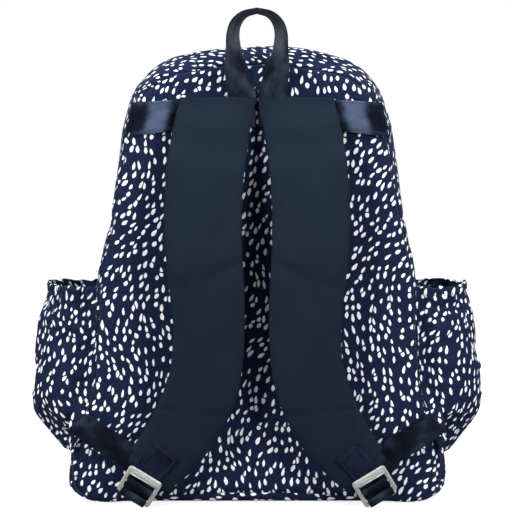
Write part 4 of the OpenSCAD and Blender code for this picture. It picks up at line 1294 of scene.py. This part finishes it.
def buckle(side):
    half = BUCKLE_W / 2
    outer = rounded_rect(-half, half, 0, BUCKLE_H, 3.2 * MM)
    inner = rounded_rect(-half + BAR_SIDE, half - BAR_SIDE, BAR_TOP, BUCKLE_H - BAR_LOW, 1.0 * MM)
    a, b = box_section(20, 0.45, 0.5)
    flat = mix(inner[:, None], outer[:, None], 0.5 + 0.5 * a[None, :, None])
    out = np.broadcast_to((BUCKLE_T / 2 * (1 + b))[None, :, None], flat.shape[:2] + (1,))
    rings = np.concatenate([flat, out], -1)
    rings = np.concatenate([rings, rings[:1]])
    flip = side == "right"
    shape = Shape().grid(buckle_space(rings, side), wrap=True, flip=flip)
    knurl_half = half - 2.4 * MM
    knurl_y = np.linspace(1.0 * MM, BAR_TOP - 2.0 * MM, 28)
    gx, gy = np.meshgrid(np.linspace(-knurl_half, knurl_half, 150), knurl_y)
    teeth = np.abs(np.sin(math.pi * (gx + gy) / KNURL_PITCH) * np.sin(math.pi * (gx - gy) / KNURL_PITCH))
    edge = smooth(0, 0.5 * MM, np.minimum(gy - knurl_y[0], knurl_y[-1] - gy))
    edge = edge * smooth(0, 0.6 * MM, knurl_half - np.abs(gx))
    grip = np.stack([gx, gy, BUCKLE_T - 0.15 * MM + edge * (0.1 * MM + 0.6 * MM * teeth)], -1)
    plate = Shape().grid(buckle_space(grip, side), np.stack([gx, gy], -1), flip=flip)
    piece(plate.build(f"buckle_grip_{side}", KNURLED), f"buckle_{side}")
    # a bead under the knurled grip, then the middle bar: half length, place down, place out, radius, sides
    bars = ((half - 3 * MM, BAR_TOP - 0.7 * MM, BUCKLE_T - 0.1 * MM, 0.75 * MM, 12),
            (half - BAR_SIDE + 1 * MM, MID_BAR_AT, BUCKLE_T / 2, MID_BAR_R, 20))
    for long, down, out, radius, sides in bars:
        bar = rod((-long, down, out), (long, down, out), radius, sides)
        shape.grid(buckle_space(bar, side), wrap=True, caps=True, flip=flip)
    piece(shape.build(f"ladder_buckle_{side}", METAL), f"buckle_{side}", [f"buckle_{side}"])


def bight(at, inside, start, end):
    """Webbing bent round a bar: rings along an arc of the given degrees, seen from the end of the bar."""
    a = np.radians(np.linspace(start, end, 44))
    r = inside + WEB_T / 2 + 0.15 * MM
    path = np.stack([0 * a, at - r * np.sin(a), BUCKLE_T / 2 - r * np.cos(a)], -1)
    return ribbon(path, same(RIGHT, len(a)), WEB_W + 0.5 * MM, WEB_T * 1.1, 26)


def webbing_bights(side):
    shape = Shape()
    round_middle = bight(MID_BAR_AT - 0.6 * MM, MID_BAR_R + 0.6 * MM, 60, 300)
    round_low = bight(BUCKLE_H - BAR_LOW / 2, 2.7 * MM, -30, -250)
    for rings in (round_middle, round_low):
        shape.grid(buckle_space(rings, side), wrap=True, caps=True, flip=side == "left")
    bights = shape.build(f"webbing_bight_web_{side}", LOWER_WEBBING)
    piece(bights, f"buckle_{side}", [f"webbing_bight_{side}"])


for side in ("left", "right"):
    buckle(side)
    webbing_bights(side)


# ---- zips: two tapes, a row of coil teeth on each and stitching ----
TAPE_GAP = 0.8 * MM


def teeth(shape, path, across, up):
    """Adds small rounded teeth along a path, each lying across it."""
    pitch, reach, half, tall = 1.7 * MM, 1.35 * MM, 0.5 * MM, 0.62 * MM
    along = np.r_[0, np.cumsum(np.linalg.norm(np.diff(path, axis=0), axis=1))]
    at = np.arange(pitch / 2, along[-1], pitch)
    read = lambda values: np.stack([np.interp(at, along, values[:, k]) for k in range(3)], -1)
    centre, side, rise = read(path), unit(read(across)), unit(read(up))
    run = unit(np.cross(side, rise))
    around = np.arange(6) / 6 * TAU
    for c, a, n, r in zip(centre, side, rise, run):
        ring = r * np.cos(around)[:, None] * half + n * np.sin(around)[:, None] * tall
        rows = [c + a * reach * k + ring * w for k, w in ((-1, 0.45), (-0.6, 1), (0.6, 1), (1, 0.45))]
        shape.grid(np.array(rows), wrap=True, caps=True)


def zip_fastener(node, runs):
    """runs are (middle path, across, up) of each stretch of the zip."""
    tapes, coils, sewn = Shape(), Shape(), Shape()
    for path, across, up in runs:
        for hand in (-1, 1):
            near = path + across * TAPE_GAP * hand * 0.4
            far = path + across * (ZIP_HALF - 0.2 * MM) * hand
            shares = np.linspace(0, 1, 5)
            rows = np.stack([mix(near, far, k) - up * (0.9 * MM - 0.5 * MM * k) for k in shares], 1)
            lower = rows - up[:, None] * 0.5 * MM
            ring = np.concatenate([rows, lower[:, ::-1]], 1)
            tapes.grid(ring, wrap=True, caps=True, flip=hand > 0)
            teeth(coils, path + across * hand * 1.05 * MM - up * 0.5 * MM, across, up)
            seam = path + across * hand * 4.9 * MM - up * 0.35 * MM
            stitches(sewn, seam, up, 3.4 * MM, 2.4 * MM, 0.24 * MM)
    piece(tapes.build(f"{node}_tapes", ZIP_TAPE), "bag", [node])
    piece(coils.build(f"{node}_coil", COIL), "bag")
    piece(sewn.build(f"{node}_thread", THREAD), "bag")


def wall_run(s0, s1, count):
    """The main zip's path on the wall, as zip_fastener takes it."""
    s = np.linspace(s0, s1, count)
    return body_point(s, ZIP_V, 0.4 * MM), same(FRONT, count), ring_outwards(s)


def sleeve_point(s, y, off):
    """A point of the sleeve's wall: ring place s, depth y, and a distance off outwards."""
    x, z = back_ring(s)
    nx, nz = ring_normal(s)
    s, y, off = np.broadcast_arrays(s, y, off)
    height = SLEEVE_RISE + z * SLEEVE_LOW * (1 - on_base(s)) + nz * off
    return np.stack([x * SLEEVE_TAPER + nx * off, y, height], -1)


def sleeve_run(s0, s1, count):
    """A stretch of the sleeve zip's path, as zip_fastener takes it."""
    s = np.linspace(s0, s1, count)
    return sleeve_point(s, SLEEVE_MID_Y, 0.2 * MM), same(FRONT, count), ring_outwards(s)


zip_fastener("main_zip", [wall_run(S_ZIP, RING - S_ZIP, 300)])
zip_fastener("sleeve_zip", [sleeve_run(S_SLEEVE_ZIP, S_THROAT, 150),
                            sleeve_run(RING - S_THROAT, RING - S_SLEEVE_ZIP, 150)])


# ---- racket sleeve walls, throat binding and accessory pocket ----
def sleeve_wall(name, node, seed, y_seam, y_zip, y_closed):
    """One side of the sleeve's wall: narrow where the zip runs up its sides, wide round the closed base."""
    s = np.linspace(-S_THROAT, S_THROAT, 340)[:, None]
    share = np.linspace(0, 1, 18)[None]
    y_far = mix(y_closed, y_zip, smooth(S_SLEEVE_ZIP - 0.06, S_SLEEVE_ZIP, np.abs(s)))
    y = mix(y_seam, y_far, share)
    width = np.abs(y_far - y_seam)
    off = 1.3 * MM * np.sin(math.pi * np.clip(share * 0.8 + 0.1, 0, 1)) - 1.2 * MM
    off = off - rolled(share * width, 4 * MM, 1.6 * MM) - rolled((1 - share) * width, 3 * MM, 1.0 * MM)
    off = off + crumple(seed, s * 24 * MM, y, 30 * MM) * 0.35 * MM * np.sin(math.pi * share)
    cloth(name, sleeve_point(s, y, off), [node], seed, 1.0 * MM)


TAPE_EDGE = 6 * MM + GAP
sleeve_wall("sleeve_rear_cloth", "racket_sleeve_rear_strip", 221,
            FRONT_FACE_Y + GAP, SLEEVE_MID_Y - TAPE_EDGE, SLEEVE_MID_Y)
sleeve_wall("sleeve_front_cloth", "racket_sleeve_front_strip", 231,
            SLEEVE_Y - 2.2 * MM, SLEEVE_MID_Y + TAPE_EDGE, SLEEVE_MID_Y + GAP)


def bound_edge(name, path, normal, tall, thick, material, nodes):
    """A folded tape over an edge: rings round a slim rounded section."""
    a, b = box_section(18, 0.4, 0.5)
    across = unit(np.cross(np.gradient(path, axis=0), normal))
    rings = path[:, None] + across[:, None] * (a * tall / 2)[None, :, None]
    rings = rings + normal[:, None] * (b * thick / 2)[None, :, None]
    obj = Shape().grid(rings, wrap=True, caps=True).build(name, material)
    piece(obj, "bag", nodes)


def end_tabs():
    """Short tapes sewn over both ends of the main zip."""
    tabs = Shape()
    s = np.linspace(S_ZIP - 0.55, S_ZIP - 0.02, 14)[:, None]
    v = np.linspace(ZIP_V - 1.7 * ZIP_EDGE, ZIP_V + 1.7 * ZIP_EDGE, 12)[None]
    from_edge = np.minimum(v - v.min(), v.max() - v) * BODY_D
    top = body_point(s, v, 2.6 * MM - rolled(from_edge, 2.5 * MM, 1.2 * MM))
    ring = np.concatenate([top, body_point(s, v, 0.2 * MM)[:, ::-1]], 1)
    for hand in (1, -1):
        tabs.grid(ring if hand > 0 else mirrored(ring), wrap=True, caps=True, flip=hand > 0)
    piece(tabs.build("main_zip_end_tab_tape", BINDING), "bag", ["main_zip_end_tabs"])


THROAT = np.linspace(S_THROAT + 0.3, RING - S_THROAT - 0.3, 60)
bound_edge("throat_binding_tape", sleeve_point(THROAT, SLEEVE_Y - 1.0 * MM, 0.9 * MM), ring_outwards(THROAT),
           5 * MM, 2.4 * MM, BINDING, ["throat_binding"])
end_tabs()


def accessory_pocket():
    """A patch pocket with softly rounded sides, a puffed face split by its zip, and piping round its edge."""
    lo, hi = np.array(ACCESSORY_LO), np.array(ACCESSORY_HI)
    middle = (lo + hi) / 2
    half_w, half_h, deep = (hi[0] - lo[0]) / 2, (hi[2] - lo[2]) / 2, hi[1] - lo[1]
    zip_z = hi[2] - 14.5 * MM
    slot_half = 5.6 * MM
    radius = 16 * MM
    outline = rounded_rect(-half_w, half_w, -half_h, half_h, radius, 30)
    outline = np.concatenate([outline, outline[:1]])
    steps = np.linspace(0, 1, 12)
    side = []
    for k in steps:
        grow = 0.6 * MM * math.sin(math.pi * k) - 1.6 * MM * max(k - 0.9, 0) / 0.1
        scale = 1 + grow / half_w
        y = np.full(len(outline), lo[1] + (deep - 1.2 * MM) * k)
        side.append(np.c_[outline[:, 0] * scale, y, outline[:, 1] * scale + middle[2]])
    side = np.stack(side, 1)
    run = surface_uv(side)[:, 5, 1]
    side[..., 1] += lumps(241, run[:, None] + 0 * steps, steps[None] * 10 * MM, 25 * MM) * 0.25 * MM
    cloth("accessory_pocket_side", side, ["accessory_pocket"], 241,
          1.0 * MM, (0, middle[1] - 0.03, middle[2]))
    columns = 90
    for label, rows, z0, z1, seed in (("upper", 14, zip_z + slot_half, hi[2], 243),
                                      ("lower", 70, lo[2], zip_z - slot_half, 245)):
        z = np.linspace(z0, z1, rows)[:, None] * np.ones(columns)
        corner = np.maximum(np.abs(z - middle[2]) - (half_h - radius), 0)
        half = half_w - radius + np.sqrt(np.maximum(radius**2 - corner**2, 0))
        x = np.linspace(-1, 1, columns)[None] * half
        edge = np.minimum(half - np.abs(x), half_h - np.abs(z - middle[2]))
        puff = 2.0 * MM * smooth(0, 45 * MM, edge)
        puff = puff + crumple(seed, x, z, 40 * MM) * 0.5 * MM * smooth(0, 18 * MM, edge)
        y = hi[1] - 0.6 * MM - rolled(edge, 6 * MM, 2.6 * MM) + (puff if label == "lower" else 0)
        y = y - rolled(np.abs(z - zip_z) - slot_half, 3 * MM, 1.0 * MM)
        relax = {"pressure": 3.0, "spare": 0.03, "cap": 3 * MM} if label == "lower" else None
        cloth(f"accessory_pocket_{label}", np.stack([x, y, z], -1), ["accessory_pocket"],
              seed, 1.0 * MM, centre=(0, middle[1] - 0.1, middle[2]), relax=relax)
    inset, cord_r = 0.8 * MM, 1.3 * MM
    piping = np.c_[outline[:, 0] * (1 - inset / half_w), np.full(len(outline), hi[1] - 1.9 * MM),
                   outline[:, 1] * (1 - inset / half_h) + middle[2]]
    a = np.linspace(0, TAU, 10, endpoint=False)
    radial = unit(np.c_[outline[:, 0] / half_w**2, np.zeros(len(outline)), outline[:, 1] / half_h**2])
    rings = piping[:, None] + radial[:, None] * (np.cos(a) * cord_r)[None, :, None]
    rings = rings + np.array(FRONT) * (np.sin(a) * cord_r)[None, :, None]
    piece(Shape().grid(rings, wrap=True).build("accessory_piping", BINDING), "bag")
    x = np.linspace(lo[0] + 8.5 * MM, hi[0] - 8.5 * MM, 120)
    path = np.c_[x, np.full_like(x, hi[1] - 1.2 * MM), np.full_like(x, zip_z)]
    zip_fastener("accessory_zip", [(path, same(UP, len(x)), same(FRONT, len(x)))])


accessory_pocket()


# ---- inside ----
def soft_box(name, node, radius, material):
    """A slab with rounded edges in the frame's own box."""
    lo, hi = (np.array(c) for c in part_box(node))
    outline = rounded_rect(lo[0], hi[0], lo[2], hi[2], radius * 4, 16)
    centre = np.array([(lo[0] + hi[0]) / 2, (lo[2] + hi[2]) / 2])
    rings = []
    for a in np.linspace(0, math.pi, 14):
        inset = min(radius, (hi[1] - lo[1]) / 2) * (1 - math.sin(a) ** 0.6)
        y = mix(lo[1], hi[1], (1 - math.cos(a)) / 2)
        flat = centre + (outline - centre) * (1 - inset / np.abs(outline - centre).max())
        rings.append(np.c_[flat[:, 0], np.full(len(flat), y), flat[:, 1]])
    obj = Shape().grid(np.array(rings), wrap=True, caps=True, flip=True).build(name, material)
    piece(obj, "bag", [node])


soft_box("laptop_divider_pad", "laptop_divider", 2.0 * MM, LINING)
soft_box("divider_binding_tape", "divider_binding", 1.2 * MM, BINDING)


def closed_tape(name, node, v0, v1):
    """A tape that follows the wall on its inside, as rings of a rounded section between two shares of the
    depth."""
    inside, thick = -3.3 * MM, 1.4 * MM
    s = np.linspace(0, RING, 421)
    share = np.array([0, 0.06, 0.94, 1, 1, 0.94, 0.06, 0])
    out = np.array([-0.3, 0, 0, -0.3, -0.7, -1, -1, -0.7])
    rings = body_point(s[:, None], mix(v0, v1, share)[None], inside + thick * out[None])
    obj = Shape().grid(rings, wrap=True, flip=True).build(name, BINDING, weld=True)
    piece(obj, "bag", [node])


closed_tape("seam_tape_rear", "seam_binding_rear", 0.004, 0.05)
closed_tape("seam_tape_front", "seam_binding_front", 0.93, 0.985)


# ---- frame pieces that keep their own shape ----
def dress(node, material, bevel):
    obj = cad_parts[node]
    obj.data.materials.clear()
    obj.data.materials.append(material)
    mod = obj.modifiers.new("bevel", "BEVEL")
    mod.width = bevel
    mod.segments = 2
    mod.limit_method = "ANGLE"


for part in ("slider", "pull"):
    for node in (f"main_{part}_left", f"main_{part}_right", f"sleeve_{part}_left", f"sleeve_{part}_right",
                 f"accessory_{part}"):
        dress(node, METAL, 0.35 * MM)
dress("base_board", BOARD, 0.8 * MM)


run_settling()
